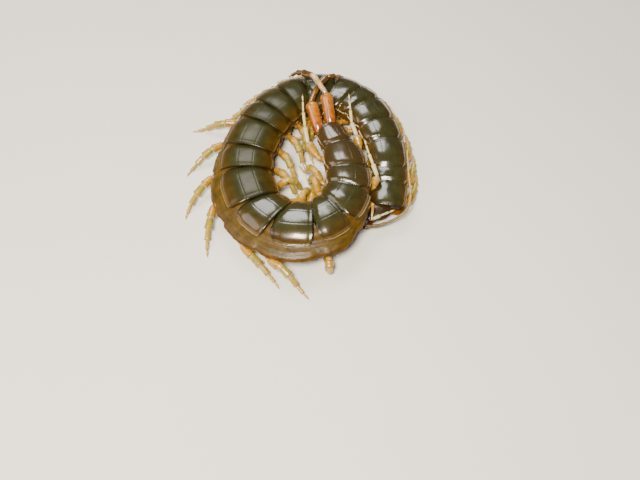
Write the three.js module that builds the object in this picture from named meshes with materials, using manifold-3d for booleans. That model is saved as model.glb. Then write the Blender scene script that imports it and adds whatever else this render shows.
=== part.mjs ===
// Giant centipede (Scolopendra), life size, coiled at rest with its head tucked against the coil.
// Millimetres, +Z up. The floor is z = 0 and the animal stands on the tips of its legs.
// The trunk is a chain of 21 leg-bearing segments along one flat curve, from the front of the
// first back plate to the tail. The curve turns counter-clockwise seen from above, so the
// animal's left side is the outside of the coil and its right side is the inside.
import * as THREE from "three";
import { mergeVertices } from "three/addons/utils/BufferGeometryUtils.js";
import Module from "manifold-3d";

const wasm = await Module();
wasm.setup();
const { degToRad, lerp, clamp } = THREE.MathUtils;

// Trunk: one entry for each segment, from the first behind the head to the last
const PLATE_LENGTH = [
  8.8, 5.2, 11, 7.7, 8.8, 5.6, 7.4, 9.4, 7.2, 7.8, 7.6, 11.3, 8.9, 13.2, 9.8, 10.9, 8, 9.4, 7.9,
  11.4, 7.7,
];
const PLATE_WIDTH = [
  11.4, 11.6, 12.2, 13.4, 14.4, 15.2, 16, 16.8, 17.2, 17.4, 17.4, 17.4, 17.2, 17, 16.8, 16.6, 16.2,
  15.4, 14.4, 13.2, 10,
];
const BEND_DEG = [6, 5, 12, 9, 14, 14, 25, 35, 21, 14, 10, 16, 14, 26, 30, 43, 34, 33, 17, 13, 7];
const BODY_HEIGHT = [
  5.8, 6.2, 7.2, 8, 8.6, 8.8, 8.5, 8.4, 8.6, 9, 9.2, 9.2, 9.2, 9.2, 9.2, 9.2, 9, 8.8, 8.4, 7.8, 6.4,
];
const BELLY_CLEARANCE = [
  1.2, 1.5, 1.9, 2.1, 2.2, 2.2, 2.1, 2, 2, 2.2, 2.4, 2.4, 2.4, 2.6, 2.9, 3.4, 4.2, 4.6, 4.4, 4.2, 4.4,
];
// How far the soft flank swells past the plate's edge on the outside of the coil
const FLANK_SWELL = [
  0.3, 0.3, 0.3, 0.4, 0.6, 1, 1.8, 2.6, 2, 1.2, 0.8, 1.2, 2.4, 4, 4.4, 4.4, 3.8, 1.2, 0, 0, 0,
];
const INNER_SWELL = 0.2;
const START = new THREE.Vector2(21.1, -19.5);
const START_HEADING_DEG = 79;
// Middle of the finished model's bounding box in plan, which becomes the origin
const PLAN_MIDDLE = new THREE.Vector2(-6.05, -2.56);

// Shares of a segment's length at which its rings lie, and how deep the first one is let in
const PLATE_RINGS = [0, 0.07, 0.38, 0.7, 0.95];
const PLATE_RING_WIDTH = [0.94, 0.975, 1, 1, 0.985];
const GROOVE_DEPTH = 0.45;
const NECK = { width: 0.86, depth: 1.1 };
const PLATE_EDGE_HEIGHT = 0.62;
const RIM_ANGLES_DEG = [0, 25, 48, 70, 90];
const CREST_FLATNESS = 0.75;
const GAP = 0.3;

// Legs: shares of a leg's length and radii in mm at both ends of each article
const ARTICLES = [
  { share: 0.07, radius: [0.8, 0.8] },
  { share: 0.23, radius: [1.05, 1.15] },
  { share: 0.21, radius: [0.85, 0.95] },
  { share: 0.19, radius: [0.65, 0.72] },
  { share: 0.16, radius: [0.42, 0.45] },
  { share: 0.09, radius: [0.3, 0.34] },
  { share: 0.05, radius: [0.2, 0.08] },
];
const FIRST_LEG_LENGTH = 15;
const LEG_LENGTH_STEP = 0.3;
const LEG_SIDES = 6;
const COXA = { radius: 1.4, sides: 8, height: 0.25, depth: 3, stand: 0.8, pitchDeg: -20 };

// Pose of each walking leg, first to twentieth: where along its segment it stands, the angle
// from straight out towards the tail at its root, the further turn by its tip, and the pitch of
// its thigh, in degrees
const LEFT_POSE = [
  [0.5, 75, 20, -15],
  [0.5, 75, 20, -15],
  [0.5, 75, 20, -15],
  [0.5, 75, 20, -15],
  [0.5, 75, 20, -10],
  [0.5, 75, 20, -10],
  [0.5, 75, 20, -10],
  [0.5, 75, 20, -10],
  [0.5, 75, 20, -10],
  [0.5, 72, 15, -10],
  [0.9, 25, 10, 0],
  [0.65, 45, 35, 0],
  [0.8, 45, 40, -6],
  [0.5, 60, 26, -8],
  [0.55, 90, -10, -12],
  [0.15, 76, -12, 10],
  [0.2, 0, 0, 0],
  [0.85, 0, 0, 0],
  [0.4, 0, 0, 0],
  [0.8, 0, 0, 0],
];
const RIGHT_POSE = [
  [0.5, 55, 10, -25],
  [0.5, 55, 10, -25],
  [0.5, 55, 10, -25],
  [0.5, 55, 10, -20],
  [0.5, 45, 0, 4],
  [0.5, 20, 0, 25],
  [0.48, 31, 0, -14],
  [0.55, 26, 0, 30],
  [0.55, 42, 0, -2],
  [0.5, 27, 0, 25],
  [0.5, 31, 0, 25],
  [0.5, 42, 0, 25],
  [0.5, 46, 0, 25],
  [0.45, 4, 0, 45],
  [0.45, 25, 0, -14],
  [0.4, 12, 0, 45],
  [0.35, 35, 0, -8],
  [0.65, 49, 0, 36],
  [0.6, 58, 0, 30],
  [0.8, 0, 0, 0],
];

// Legs that rest on the body instead of the floor, as points on their way from root to claw.
// The two hindmost pairs lie over the front of the trunk, and one leg lies across the head.
const LEG_ROUTES = {
  leg_17_left: [[2.9, -42.2, 3.7], [3.2, -41.2, 0.9], [2, -36, 0.45], [0, -29, 0.3]],
  leg_18_left: [
    [17.9, -20.4, 7], [14.6, -25.8, 6.4], [15.3, -25.2, 6], [18.9, -23.1, 5.8], [24, -20.2, 5],
  ],
  leg_19_left: [[18.8, -13.2, 9.2], [17.5, -8, 10], [16.4, -4, 10], [15.6, -0.5, 10], [14.4, 5, 10.1]],
  leg_20_left: [[14.4, 3.8, 8.4], [11.2, 8.5, 9.2], [10.6, 12, 9.8], [10.2, 17, 11.3], [9.8, 24, 11.9]],
  leg_20_right: [[-2.2, 0.8, 6.7], [-3.9, 4.5, 7.6], [-5, 10, 9.9], [-5.6, 15, 11.6], [-6, 23.5, 12.2]],
};

// Hindmost legs, thicker and longer than the others, crossed over the back
const TERMINAL_ARTICLES = [
  { share: 0.06, radius: [1.9, 1.9] },
  { share: 0.34, radius: [1.85, 2] },
  { share: 0.23, radius: [1.35, 1.45] },
  { share: 0.17, radius: [1.15, 1.2] },
  { share: 0.1, radius: [0.85, 0.9] },
  { share: 0.06, radius: [0.6, 0.65] },
  { share: 0.04, radius: [0.35, 0.1] },
];
const TERMINAL_SIDES = 8;
const TERMINAL_ROOT = { across: 2.2, height: 7.6 };
const TERMINAL_ROUTES = {
  terminal_leg_left: [
    [3.2, 12.3, 8.3], [2, 22.2, 13.8], [-1, 26, 16.6], [-3.4, 28.7, 15.8], [-7.6, 33, 12.9],
    [-11.2, 31.2, 11.8],
  ],
  terminal_leg_right: [
    [-1.2, 10.6, 8], [-3.4, 21, 12.3], [-0.9, 26.5, 12], [2.9, 31.8, 12.3], [8.6, 32, 11.3],
  ],
};

// Head: a flat round plate turned towards the coil, tucked under the raised hind segments
const HEAD = { x: 20.5, y: -17.2, headingDeg: -152, length: 10.2, halfWidth: 4.7, sides: 16 };
const HEAD_OUTLINE = [0.8, 0.94, 1, 0.97, 0.87, 0.68, 0.4, 0.14];
const HEAD_TOP = [5.4, 5.6, 5.6, 5.4, 5, 4.6, 4.2, 3.9];
const HEAD_UNDERSIDE = 2.5;
const POISON_BASE = { length: 5.2, halfWidth: [3.2, 3.7, 3.5, 2.8], bottom: 0.4, top: 2.1 };
const POISON_CLAW = {
  radius: [0.95, 1, 0.85, 0.6, 0.1],
  route: [[2.6, 6.4, 1.2], [3.7, 7.4, 1.3], [3.6, 8.8, 1.3], [2.4, 9.9, 1.2], [0.6, 10.4, 1]],
  sides: 8,
};
// Four simple eyes on each side, as places along the outline and degrees down from the crest
const EYE = { radius: 0.34, spots: [[4.6, 78], [5.1, 76], [4.7, 54], [5.2, 50]] };
const ANTENNA = { radius: [0.62, 0.2], articles: 17, sides: 6 };
const ANTENNA_ROUTES = {
  antenna_left: [
    [15, -25.3, 3.2], [20.4, -24.4, 3.4], [26.6, -21.2, 4.9], [28.7, -16, 6.2], [28.8, -7, 5.9],
    [28.9, 3, 6.4],
  ],
  antenna_right: [
    [9.4, -19.6, 3.6], [7.6, -15, 3.6], [6.6, -9, 3.6], [6.4, -1, 3.5], [7.2, 6, 3.4], [8.2, 10, 3.2],
  ],
};

// The flat curve that the trunk follows, as the ends of its segments
const borders = [{ s: 0, point: START.clone(), heading: degToRad(START_HEADING_DEG) }];
PLATE_LENGTH.forEach((length, k) => {
  borders.push(stepAlong(borders[k], length, length, degToRad(BEND_DEG[k])));
});
const TRUNK_LENGTH = borders[borders.length - 1].s;

// Where a walk along an arc ends, for an arc that turns by bend over its whole length
function stepAlong(from, distance, length, bend) {
  const turned = (bend * distance) / length;
  const chord = Math.abs(turned) < 1e-6 ? distance : (distance * Math.sin(turned / 2)) / (turned / 2);
  const way = from.heading + turned / 2;
  return {
    s: from.s + distance,
    point: from.point.clone().add(new THREE.Vector2(Math.cos(way), Math.sin(way)).multiplyScalar(chord)),
    heading: from.heading + turned,
  };
}

function segmentAt(s) {
  const k = PLATE_LENGTH.findIndex((length, i) => s <= borders[i + 1].s + 1e-6);
  return k < 0 ? PLATE_LENGTH.length - 1 : k;
}

function trunkFrame(s) {
  const k = segmentAt(s);
  const here = stepAlong(borders[k], s - borders[k].s, PLATE_LENGTH[k], degToRad(BEND_DEG[k]));
  const back = new THREE.Vector3(Math.cos(here.heading), Math.sin(here.heading), 0);
  const left = new THREE.Vector3(back.y, -back.x, 0);
  return { origin: new THREE.Vector3(here.point.x, here.point.y, 0), back, left, heading: here.heading };
}

// A list of one value per segment, read between the middles of the segments
function along(list, s) {
  const middle = (k) => (borders[k].s + borders[k + 1].s) / 2;
  const k = clamp(segmentAt(s) - (s < middle(segmentAt(s)) ? 1 : 0), 0, list.length - 2);
  const t = clamp((s - middle(k)) / (middle(k + 1) - middle(k)), 0, 1);
  return lerp(list[k], list[k + 1], t);
}

// One side of the trunk's section at s, from the crest down to the middle of the belly, as
// pairs of distance from the middle and height. Depth lets the plates in at a joint.
function halfSection(s, swell, widthShare, depth) {
  const half = (along(PLATE_WIDTH, s) / 2) * widthShare - depth * 0.6;
  const height = along(BODY_HEIGHT, s);
  const belly = along(BELLY_CLEARANCE, s);
  const top = belly + height - depth;
  const rim = belly + PLATE_EDGE_HEIGHT * height - depth * 0.4;
  const plate = RIM_ANGLES_DEG.map((deg) => {
    const angle = degToRad(deg);
    return [half * Math.sin(angle), rim + (top - rim) * Math.max(0, Math.cos(angle)) ** CREST_FLATNESS];
  });
  const soft = depth * 0.5;
  return [
    ...plate,
    [0.95 * half + 0.75 * swell, belly + 0.54 * height],
    [0.96 * half + swell, belly + 0.4 * height],
    [0.82 * half + 0.5 * swell - soft * 0.5, belly + 0.2 * height],
    [0.62 * half + 0.15 * swell, belly + 0.05 * height + soft * 0.4],
    [0.34 * half, belly + soft],
    [0, belly + soft],
  ];
}

// All points of one ring round the trunk, counted from the crest down the left side and up the right
function trunkRing(s, widthShare, depth) {
  const { origin, left } = trunkFrame(s);
  const leftSide = halfSection(s, along(FLANK_SWELL, s), widthShare, depth);
  const rightSide = halfSection(s, INNER_SWELL, widthShare, depth);
  const place = ([across, up], side) => origin.clone().addScaledVector(left, across * side).setZ(up);
  return [
    ...leftSide.map((p) => place(p, 1)),
    ...rightSide
      .slice(1, -1)
      .reverse()
      .map((p) => place(p, -1)),
  ];
}

// A closed skin over rings of points: a cylinder whose vertices are moved onto the rings
function skinOver(rings) {
  const sides = rings[0].length;
  const geometry = new THREE.CylinderGeometry(1, 1, 1, sides, rings.length - 1);
  const position = geometry.getAttribute("position");
  const centres = rings.map((ring) =>
    ring.reduce((sum, p) => sum.add(p), new THREE.Vector3()).divideScalar(sides),
  );
  for (let i = 0; i < position.count; i++) {
    const row = Math.round((position.getY(i) + 0.5) * (rings.length - 1));
    const across = Math.hypot(position.getX(i), position.getZ(i));
    const turn = Math.atan2(position.getX(i), position.getZ(i)) / (2 * Math.PI);
    const column = (Math.round(turn * sides) + sides) % sides;
    const point = across < 0.5 ? centres[row] : rings[row][column];
    position.setXYZ(i, point.x, point.y, point.z);
  }
  return closed(geometry);
}

function closed(geometry) {
  geometry.deleteAttribute("normal");
  geometry.deleteAttribute("uv");
  return mergeVertices(geometry, 1e-4);
}

function toSolid(geometry) {
  return new wasm.Manifold(
    new wasm.Mesh({
      numProp: 3,
      vertProperties: geometry.getAttribute("position").array,
      triVerts: new Uint32Array(geometry.index.array),
    }),
  );
}

function toGeometry(solid) {
  const mesh = solid.getMesh();
  const geometry = new THREE.BufferGeometry();
  geometry.setAttribute("position", new THREE.BufferAttribute(mesh.vertProperties, 3));
  return geometry.setIndex(new THREE.BufferAttribute(mesh.triVerts, 1));
}

function largestBody(solid) {
  return solid.decompose().sort((a, b) => b.volume() - a.volume())[0];
}

// Leaves out each station whose ring would cut the ring before it, as at the inside of a sharp bend
function uncrossed(stations) {
  const kept = [stations[0]];
  stations.slice(1).forEach((next) => {
    const last = kept.at(-1);
    const step = next.point.clone().sub(last.point);
    const tilt = Math.sin(last.way.angleTo(next.way));
    const ahead = step.dot(last.way) > next.radius * tilt + 0.02;
    if (ahead && step.dot(next.way) > last.radius * tilt + 0.02) kept.push(next);
  });
  return kept;
}

// Rings of a round limb: stations of a point, the way the limb runs there, and its radius. Each
// ring is turned on from the one before, so that the limb has no twist, and where a ring would
// pass below the floor it is flattened on it.
function limbRings(stations, sides) {
  let wayBefore = stations[0].way;
  const across = new THREE.Vector3().crossVectors(wayBefore, new THREE.Vector3(0, 0, 1)).normalize();
  return uncrossed(stations).map(({ point, way, radius }) => {
    across.applyQuaternion(new THREE.Quaternion().setFromUnitVectors(wayBefore, way));
    wayBefore = way;
    const up = new THREE.Vector3().crossVectors(across, way).normalize();
    return Array.from({ length: sides }, (unused, j) => {
      const turn = (j / sides) * 2 * Math.PI;
      const p = point
        .clone()
        .addScaledVector(across, radius * Math.sin(turn))
        .addScaledVector(up, radius * Math.cos(turn));
      return p.setZ(Math.max(0, p.z));
    });
  });
}

// Stations of a jointed limb through its joints. Each article is narrow at its start, swells and
// ends in a rim, and its end rings are set square to the mean of the two ways that meet there.
function jointedStations(joints, articles) {
  const ways = articles.map((unused, k) => joints[k + 1].clone().sub(joints[k]).normalize());
  const stations = [];
  articles.forEach(({ radius }, k) => {
    const before = k > 0 ? ways[k].clone().add(ways[k - 1]).normalize() : ways[k];
    if (k > 0) {
      const step = Math.min(0.35, joints[k + 1].distanceTo(joints[k]) * 0.12);
      const narrow = Math.min(radius[0], articles[k - 1].radius[1]) * 0.82;
      if (k < 5) stations.push({ point: joints[k].clone(), way: before, radius: narrow });
      const start = joints[k].clone().addScaledVector(ways[k], step);
      stations.push({ point: start, way: ways[k], radius: radius[0] });
    } else {
      stations.push({ point: joints[0].clone(), way: ways[0], radius: radius[0] });
    }
    const last = k === articles.length - 1;
    const short = last ? 0 : Math.min(0.35, joints[k + 1].distanceTo(joints[k]) * 0.12);
    const end = joints[k + 1].clone().addScaledVector(ways[k], -short);
    stations.push({ point: end, way: ways[k], radius: radius[1] });
  });
  return stations;
}

// Where a walking leg leaves the body: the middle of its coxa's end face and the way that it points
function coxaOf(index, side) {
  const place = (side > 0 ? LEFT_POSE : RIGHT_POSE)[index][0];
  const s = borders[index].s + place * PLATE_LENGTH[index];
  const { origin, back, left } = trunkFrame(s);
  const out = left.clone().multiplyScalar(side);
  const swell = side > 0 ? along(FLANK_SWELL, s) : INNER_SWELL;
  const section = halfSection(s, swell, 1, 0);
  const up = along(BELLY_CLEARANCE, s) + COXA.height * along(BODY_HEIGHT, s);
  const [wide, low] = [section[6], section[7]];
  const reach = lerp(low[0], wide[0], (up - low[1]) / (wide[1] - low[1]));
  const pitch = degToRad(COXA.pitchDeg);
  const way = out
    .clone()
    .multiplyScalar(Math.cos(pitch))
    .addScaledVector(back, 0.15)
    .setZ(Math.sin(pitch))
    .normalize();
  const skin = origin.clone().addScaledVector(out, reach).setZ(up);
  return { skin, way, out, back, end: skin.clone().addScaledVector(way, COXA.stand) };
}

function coxaSolid(index, side) {
  const { skin, way, end } = coxaOf(index, side);
  const root = skin.clone().addScaledVector(way, -COXA.depth);
  const rings = [root, end].map((point) => ({ point, way, radius: COXA.radius }));
  return toSolid(skinOver(limbRings(rings, COXA.sides)));
}

function walkingLeg(index, side) {
  const { way, out, back, end } = coxaOf(index, side);
  const [, sweep, curl, lift] = (side > 0 ? LEFT_POSE : RIGHT_POSE)[index];
  const total = FIRST_LEG_LENGTH + LEG_LENGTH_STEP * index;
  const start = end.clone().addScaledVector(way, GAP);
  const fall = [0, 0.7, 1, 0.7, 0.35, 0.35];
  const wayOf = (k, drop) => {
    const turn = degToRad(sweep + curl * (k / 5));
    const pitch = degToRad(lift - drop * fall[k]);
    const flat = out.clone().multiplyScalar(Math.cos(turn)).addScaledVector(back, Math.sin(turn));
    return flat.normalize().multiplyScalar(Math.cos(pitch)).setZ(Math.sin(pitch));
  };
  const halfTurned = way.clone().add(wayOf(0, 0)).normalize();
  const trochanter = start.clone().addScaledVector(halfTurned, ARTICLES[0].share * total);
  const jointsFor = (drop) => {
    const joints = [start, trochanter];
    ARTICLES.slice(1).forEach(({ share }, k) => {
      joints.push(joints.at(-1).clone().addScaledVector(wayOf(k, drop), share * total));
    });
    return joints;
  };
  let [low, high] = [-60, 200];
  for (let i = 0; i < 40; i++) {
    const drop = (low + high) / 2;
    if (jointsFor(drop).at(-1).z > 0) low = drop;
    else high = drop;
  }
  const stations = jointedStations(jointsFor(low), ARTICLES);
  stations[0].way = way;
  return skinOver(limbRings(stations, LEG_SIDES));
}

// Joints of a limb that is laid along a route: each article takes its share of the way
function jointsAlong(points, articles) {
  const lengths = [0];
  points.slice(1).forEach((p, i) => lengths.push(lengths[i] + p.distanceTo(points[i])));
  const total = lengths.at(-1);
  let walked = 0;
  return [0, ...articles.map(({ share }) => (walked += share * total))].map((s) => {
    const i = clamp(lengths.findIndex((l) => l >= s - 1e-6), 1, points.length - 1);
    return points[i - 1].clone().lerp(points[i], (s - lengths[i - 1]) / (lengths[i] - lengths[i - 1]));
  });
}

function routedLeg(index, side, route) {
  const { way, end } = coxaOf(index, side);
  const points = [end.clone().addScaledVector(way, GAP), ...route.map((p) => new THREE.Vector3(...p))];
  const stations = jointedStations(jointsAlong(points, ARTICLES), ARTICLES);
  stations[0].way = way;
  stations[1].way = way.clone().add(stations[1].way).normalize();
  return skinOver(limbRings(stations, LEG_SIDES));
}

function terminalLeg(side, route) {
  const { origin, back, left } = trunkFrame(TRUNK_LENGTH);
  const start = origin
    .clone()
    .addScaledVector(left, side * TERMINAL_ROOT.across)
    .addScaledVector(back, GAP / 2)
    .setZ(TERMINAL_ROOT.height);
  const points = [start, ...route.map((p) => new THREE.Vector3(...p))];
  const stations = jointedStations(jointsAlong(points, TERMINAL_ARTICLES), TERMINAL_ARTICLES);
  stations[0].way = back;
  return skinOver(limbRings(stations, TERMINAL_SIDES));
}

// One length of the trunk, from one segment to another, with the coxae that stand on it
function trunkLength(first, last) {
  const rings = [];
  for (let k = first; k <= last; k++) {
    PLATE_RINGS.forEach((share, r) => {
      const cut = k === first && r === 0 ? GAP / 2 : 0;
      const s = borders[k].s + share * PLATE_LENGTH[k] + cut;
      if (k === 0 && r === 0) rings.push(trunkRing(s, NECK.width, NECK.depth));
      else rings.push(trunkRing(s, PLATE_RING_WIDTH[r], r === 0 ? GROOVE_DEPTH : 0));
    });
  }
  rings.push(trunkRing(borders[last + 1].s - GAP / 2, PLATE_RING_WIDTH[0], GROOVE_DEPTH));
  const pieces = [toSolid(skinOver(rings))];
  for (let k = first; k <= Math.min(last, 19); k++) {
    pieces.push(coxaSolid(k, 1), coxaSolid(k, -1));
  }
  return toGeometry(largestBody(wasm.Manifold.union(pieces)));
}

// From the head's own measures (out to its left, forward, up) to the model's
function fromHead(out, forward, up) {
  const heading = degToRad(HEAD.headingDeg);
  const ahead = new THREE.Vector3(Math.cos(heading), Math.sin(heading), 0);
  const left = new THREE.Vector3(-ahead.y, ahead.x, 0);
  return new THREE.Vector3(HEAD.x, HEAD.y, up).addScaledVector(ahead, forward).addScaledVector(left, out);
}

// What lies in front of the first trunk segment, with the gap that the head keeps from it
function aheadOfTrunk(solid) {
  const { origin, back } = trunkFrame(0);
  const normal = back.clone().negate();
  return solid.trimByPlane([normal.x, normal.y, 0], origin.dot(normal) + GAP / 2);
}

// A point of the head's skin, at a place counted along its outline and an angle from the crest
function headSkin(place, angle) {
  const k = Math.min(Math.floor(place), HEAD_OUTLINE.length - 2);
  const half = HEAD.halfWidth * lerp(HEAD_OUTLINE[k], HEAD_OUTLINE[k + 1], place - k);
  const top = lerp(HEAD_TOP[k], HEAD_TOP[k + 1], place - k);
  const forward = (HEAD.length * (place - 0.35)) / (HEAD_OUTLINE.length - 1.35);
  const rim = lerp(HEAD_UNDERSIDE, top, 0.55);
  const up = Math.cos(angle);
  const rise = Math.sign(up) * Math.abs(up) ** 0.8 * (up > 0 ? top - rim : rim - HEAD_UNDERSIDE);
  return fromHead(half * Math.sin(angle), forward, rim + rise);
}

function headSolid() {
  const rings = HEAD_OUTLINE.map((unused, k) =>
    Array.from({ length: HEAD.sides }, (_, j) => headSkin(k, (-j / HEAD.sides) * 2 * Math.PI)),
  );
  const eyes = EYE.spots.flatMap(([place, down]) =>
    [1, -1].map((side) => {
      const { x, y, z } = headSkin(place, side * degToRad(down));
      return toSolid(closed(new THREE.IcosahedronGeometry(EYE.radius, 0).translate(x, y, z)));
    }),
  );
  return wasm.Manifold.union([toSolid(skinOver(rings)), ...eyes]);
}

function poisonBase() {
  const { length, halfWidth, bottom, top } = POISON_BASE;
  const rings = halfWidth.map((half, k) => {
    const forward = lerp(-1.5, length, k / (halfWidth.length - 1));
    return [
      [-half, lerp(bottom, top, 0.4)],
      [-half * 0.75, top],
      [half * 0.75, top],
      [half, lerp(bottom, top, 0.4)],
      [half * 0.7, bottom],
      [-half * 0.7, bottom],
    ]
      .reverse()
      .map(([out, up]) => fromHead(out, forward, up));
  });
  return toSolid(skinOver(rings));
}

// Stations of a smooth tapering limb along a spline through its route
function taperedStations(points, radii, count) {
  const spline = new THREE.CatmullRomCurve3(points, false, "centripetal");
  return Array.from({ length: count }, (unused, k) => {
    const t = k / (count - 1);
    const at = t * (radii.length - 1);
    const i = Math.min(Math.floor(at), radii.length - 2);
    const radius = lerp(radii[i], radii[i + 1], at - i);
    return { point: spline.getPointAt(t), way: spline.getTangentAt(t), radius };
  });
}

function poisonClaw(side) {
  const points = POISON_CLAW.route.map(([out, forward, up]) => fromHead(side * out, forward, up));
  return skinOver(limbRings(taperedStations(points, POISON_CLAW.radius, 10), POISON_CLAW.sides));
}

function antenna(side, route) {
  const root = fromHead(side * 1.7, HEAD.length - 0.3, 3.5);
  const points = [root, ...route.map((p) => new THREE.Vector3(...p))];
  const stations = taperedStations(points, ANTENNA.radius, 2 * ANTENNA.articles + 1);
  stations.forEach((station, k) => {
    if (k % 2 === 0 && k > 0) station.radius *= 0.8;
  });
  return skinOver(limbRings(stations, ANTENNA.sides));
}

const group = new THREE.Group();
function add(name, geometry, material) {
  geometry.translate(-PLAN_MIDDLE.x, -PLAN_MIDDLE.y, 0);
  const mesh = new THREE.Mesh(geometry, material);
  mesh.name = name;
  group.add(mesh);
}
const material = (color, roughness) => new THREE.MeshStandardMaterial({ color, roughness, metalness: 0 });

add("head", toGeometry(largestBody(aheadOfTrunk(headSolid()))), material(0x2e2612, 0.25));
add("forcipule_base", toGeometry(largestBody(aheadOfTrunk(poisonBase()))), material(0x8a4d1c, 0.35));
add("forcipule_left", poisonClaw(1), material(0x7a3312, 0.3));
add("forcipule_right", poisonClaw(-1), material(0x7a3312, 0.3));
add("antenna_left", antenna(1, ANTENNA_ROUTES.antenna_left), material(0xc9bd8a, 0.45));
add("antenna_right", antenna(-1, ANTENNA_ROUTES.antenna_right), material(0xc9bd8a, 0.45));

for (let k = 0; k < 21; k += 3) {
  const name = `trunk_${String(k + 1).padStart(2, "0")}_${String(k + 3).padStart(2, "0")}`;
  add(name, trunkLength(k, k + 2), material(0x2b2c12, 0.25));
}
for (let k = 0; k < 20; k++) {
  for (const [word, side] of [
    ["left", 1],
    ["right", -1],
  ]) {
    const name = `leg_${String(k + 1).padStart(2, "0")}_${word}`;
    const route = LEG_ROUTES[name];
    add(name, route ? routedLeg(k, side, route) : walkingLeg(k, side), material(0xb98a2c, 0.4));
  }
}
add("terminal_leg_left", terminalLeg(1, TERMINAL_ROUTES.terminal_leg_left), material(0x9c4a1c, 0.35));
add("terminal_leg_right", terminalLeg(-1, TERMINAL_ROUTES.terminal_leg_right), material(0x9c4a1c, 0.35));

export default group;
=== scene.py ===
"""Giant centipede, life size, coiled at rest: the looks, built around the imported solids.

Lengths in the tables are millimetres in the plan of part.mjs, whose curve, section and leg poses
are repeated here. Run as a script in Blender 4.5.
"""

import math
from collections import namedtuple
from itertools import accumulate

import bmesh
import bpy
from bpy.props import FloatProperty, FloatVectorProperty, PointerProperty
from mathutils import Matrix, Vector, noise


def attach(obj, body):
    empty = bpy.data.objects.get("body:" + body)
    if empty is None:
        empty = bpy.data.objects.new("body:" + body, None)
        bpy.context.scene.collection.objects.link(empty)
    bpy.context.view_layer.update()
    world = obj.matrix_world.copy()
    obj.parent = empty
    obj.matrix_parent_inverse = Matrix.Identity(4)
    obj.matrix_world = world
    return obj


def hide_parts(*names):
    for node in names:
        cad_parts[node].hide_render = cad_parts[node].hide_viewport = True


bl_info = {
    "name": "Giant centipede",
    "version": (1, 0, 0),
    "blender": (4, 5, 0),
    "location": "View3D > Sidebar > Centipede",
    "description": "Builds the plates, soft flanks, legs and head of a coiled giant centipede",
    "category": "Add Mesh",
}

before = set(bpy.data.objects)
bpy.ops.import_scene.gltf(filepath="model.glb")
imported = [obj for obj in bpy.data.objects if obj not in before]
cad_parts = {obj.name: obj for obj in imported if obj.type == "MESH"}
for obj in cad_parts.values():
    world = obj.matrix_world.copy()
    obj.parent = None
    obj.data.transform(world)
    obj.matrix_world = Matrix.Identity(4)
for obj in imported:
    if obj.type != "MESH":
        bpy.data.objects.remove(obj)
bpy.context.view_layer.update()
TRUNK_NODES = [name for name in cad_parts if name.startswith("trunk")]

MM = 0.001
UP = Vector((0, 0, 1))
SIDES = ((1, "left"), (-1, "right"))

# Middle of the animal in the plan, which becomes the origin
PLAN_MIDDLE = Vector((-6.05, -2.56, 0))

# Trunk: one entry for each of the 21 leg-bearing segments, from head to tail. The middle line is an
# arc for each segment, which turns by its bend.
PLATE_LENGTH = (
    8.8, 5.2, 11, 7.7, 8.8, 5.6, 7.4, 9.4, 7.2, 7.8, 7.6, 11.3, 8.9, 13.2, 9.8, 10.9, 8, 9.4, 7.9,
    11.4, 7.7,
)
PLATE_WIDTH = (
    11.4, 11.6, 12.2, 13.4, 14.4, 15.2, 16, 16.8, 17.2, 17.4, 17.4, 17.4, 17.2, 17, 16.8, 16.6, 16.2,
    15.4, 14.4, 13.2, 10,
)
BEND_DEG = (6, 5, 12, 9, 14, 14, 25, 35, 21, 14, 10, 16, 14, 26, 30, 43, 34, 33, 17, 13, 7)
BODY_HEIGHT = (
    5.8, 6.2, 7.2, 8, 8.6, 8.8, 8.5, 8.4, 8.6, 9, 9.2, 9.2, 9.2, 9.2, 9.2, 9.2, 9, 8.8, 8.4, 7.8, 6.4,
)
BELLY_CLEARANCE = (
    1.2, 1.5, 1.9, 2.1, 2.2, 2.2, 2.1, 2, 2, 2.2, 2.4, 2.4, 2.4, 2.6, 2.9, 3.4, 4.2, 4.6, 4.4, 4.2, 4.4,
)
FLANK_SWELL = (
    0.3, 0.3, 0.3, 0.4, 0.6, 1, 1.8, 2.6, 2, 1.2, 0.8, 1.2, 2.4, 4, 4.4, 4.4, 3.8, 1.2, 0, 0, 0,
)
INNER_SWELL = 0.2
START = Vector((21.1, -19.5, 0))
START_HEADING_DEG = 79
PLATE_EDGE_HEIGHT = 0.62
GAP = 0.3
SEGMENTS = len(PLATE_LENGTH)

# Plates: how far each keeps straight in the body's bend, how its ends round off, and the places
# of its grid lines, as shares of the half width and of the length
PLATE_STRAIGHTNESS = 0.55
PLATE_OVERLAP = 0.5
PLATE_TUCK = 0.62
FRONT_ROUND = 0.3
REAR_ROUND = 0.2
SUTURE = 0.27
BRIM = 0.955
PLATE_COLUMNS = (
    0, 0.06, 0.12, 0.18, 0.225, 0.25, 0.262, 0.27, 0.278, 0.29, 0.315, 0.37, 0.43, 0.5, 0.57, 0.64,
    0.7, 0.76, 0.81, 0.85, 0.885, 0.912, 0.932, 0.946, 0.958, 0.969, 0.98, 0.99, 1,
)
PLATE_ROWS = (
    0, 0.02, 0.05, 0.09, 0.14, 0.2, 0.28, 0.36, 0.44, 0.52, 0.6, 0.68, 0.76, 0.83, 0.88, 0.915, 0.94,
    0.958, 0.974, 0.988, 1,
)

# Ridges and furrows of a back plate, each with its place, its width and its height: the bead along
# a side, in shares of the half width and of the rim height, the lip at the rear and the groove across
# the front, in shares of the length and in millimetres
SIDE_BEAD = ((0.982, 0.016, 1), (0.944, 0.016, -0.7))
REAR_LIP = ((0.958, 0.018, 0.1), (0.92, 0.02, -0.08))
REAR_DROP = 0.22
FRONT_GROOVE = ((0.13, 0.03, -0.07),)
FIRST_GROOVED_PLATE = 2
PLATE_WAIST = {"front": 0.06, "rear": 0.025}
FIRST_TUCK = 0.3
HIND_PLATE = {"round": 0.62, "overlap": 1.4}

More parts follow.
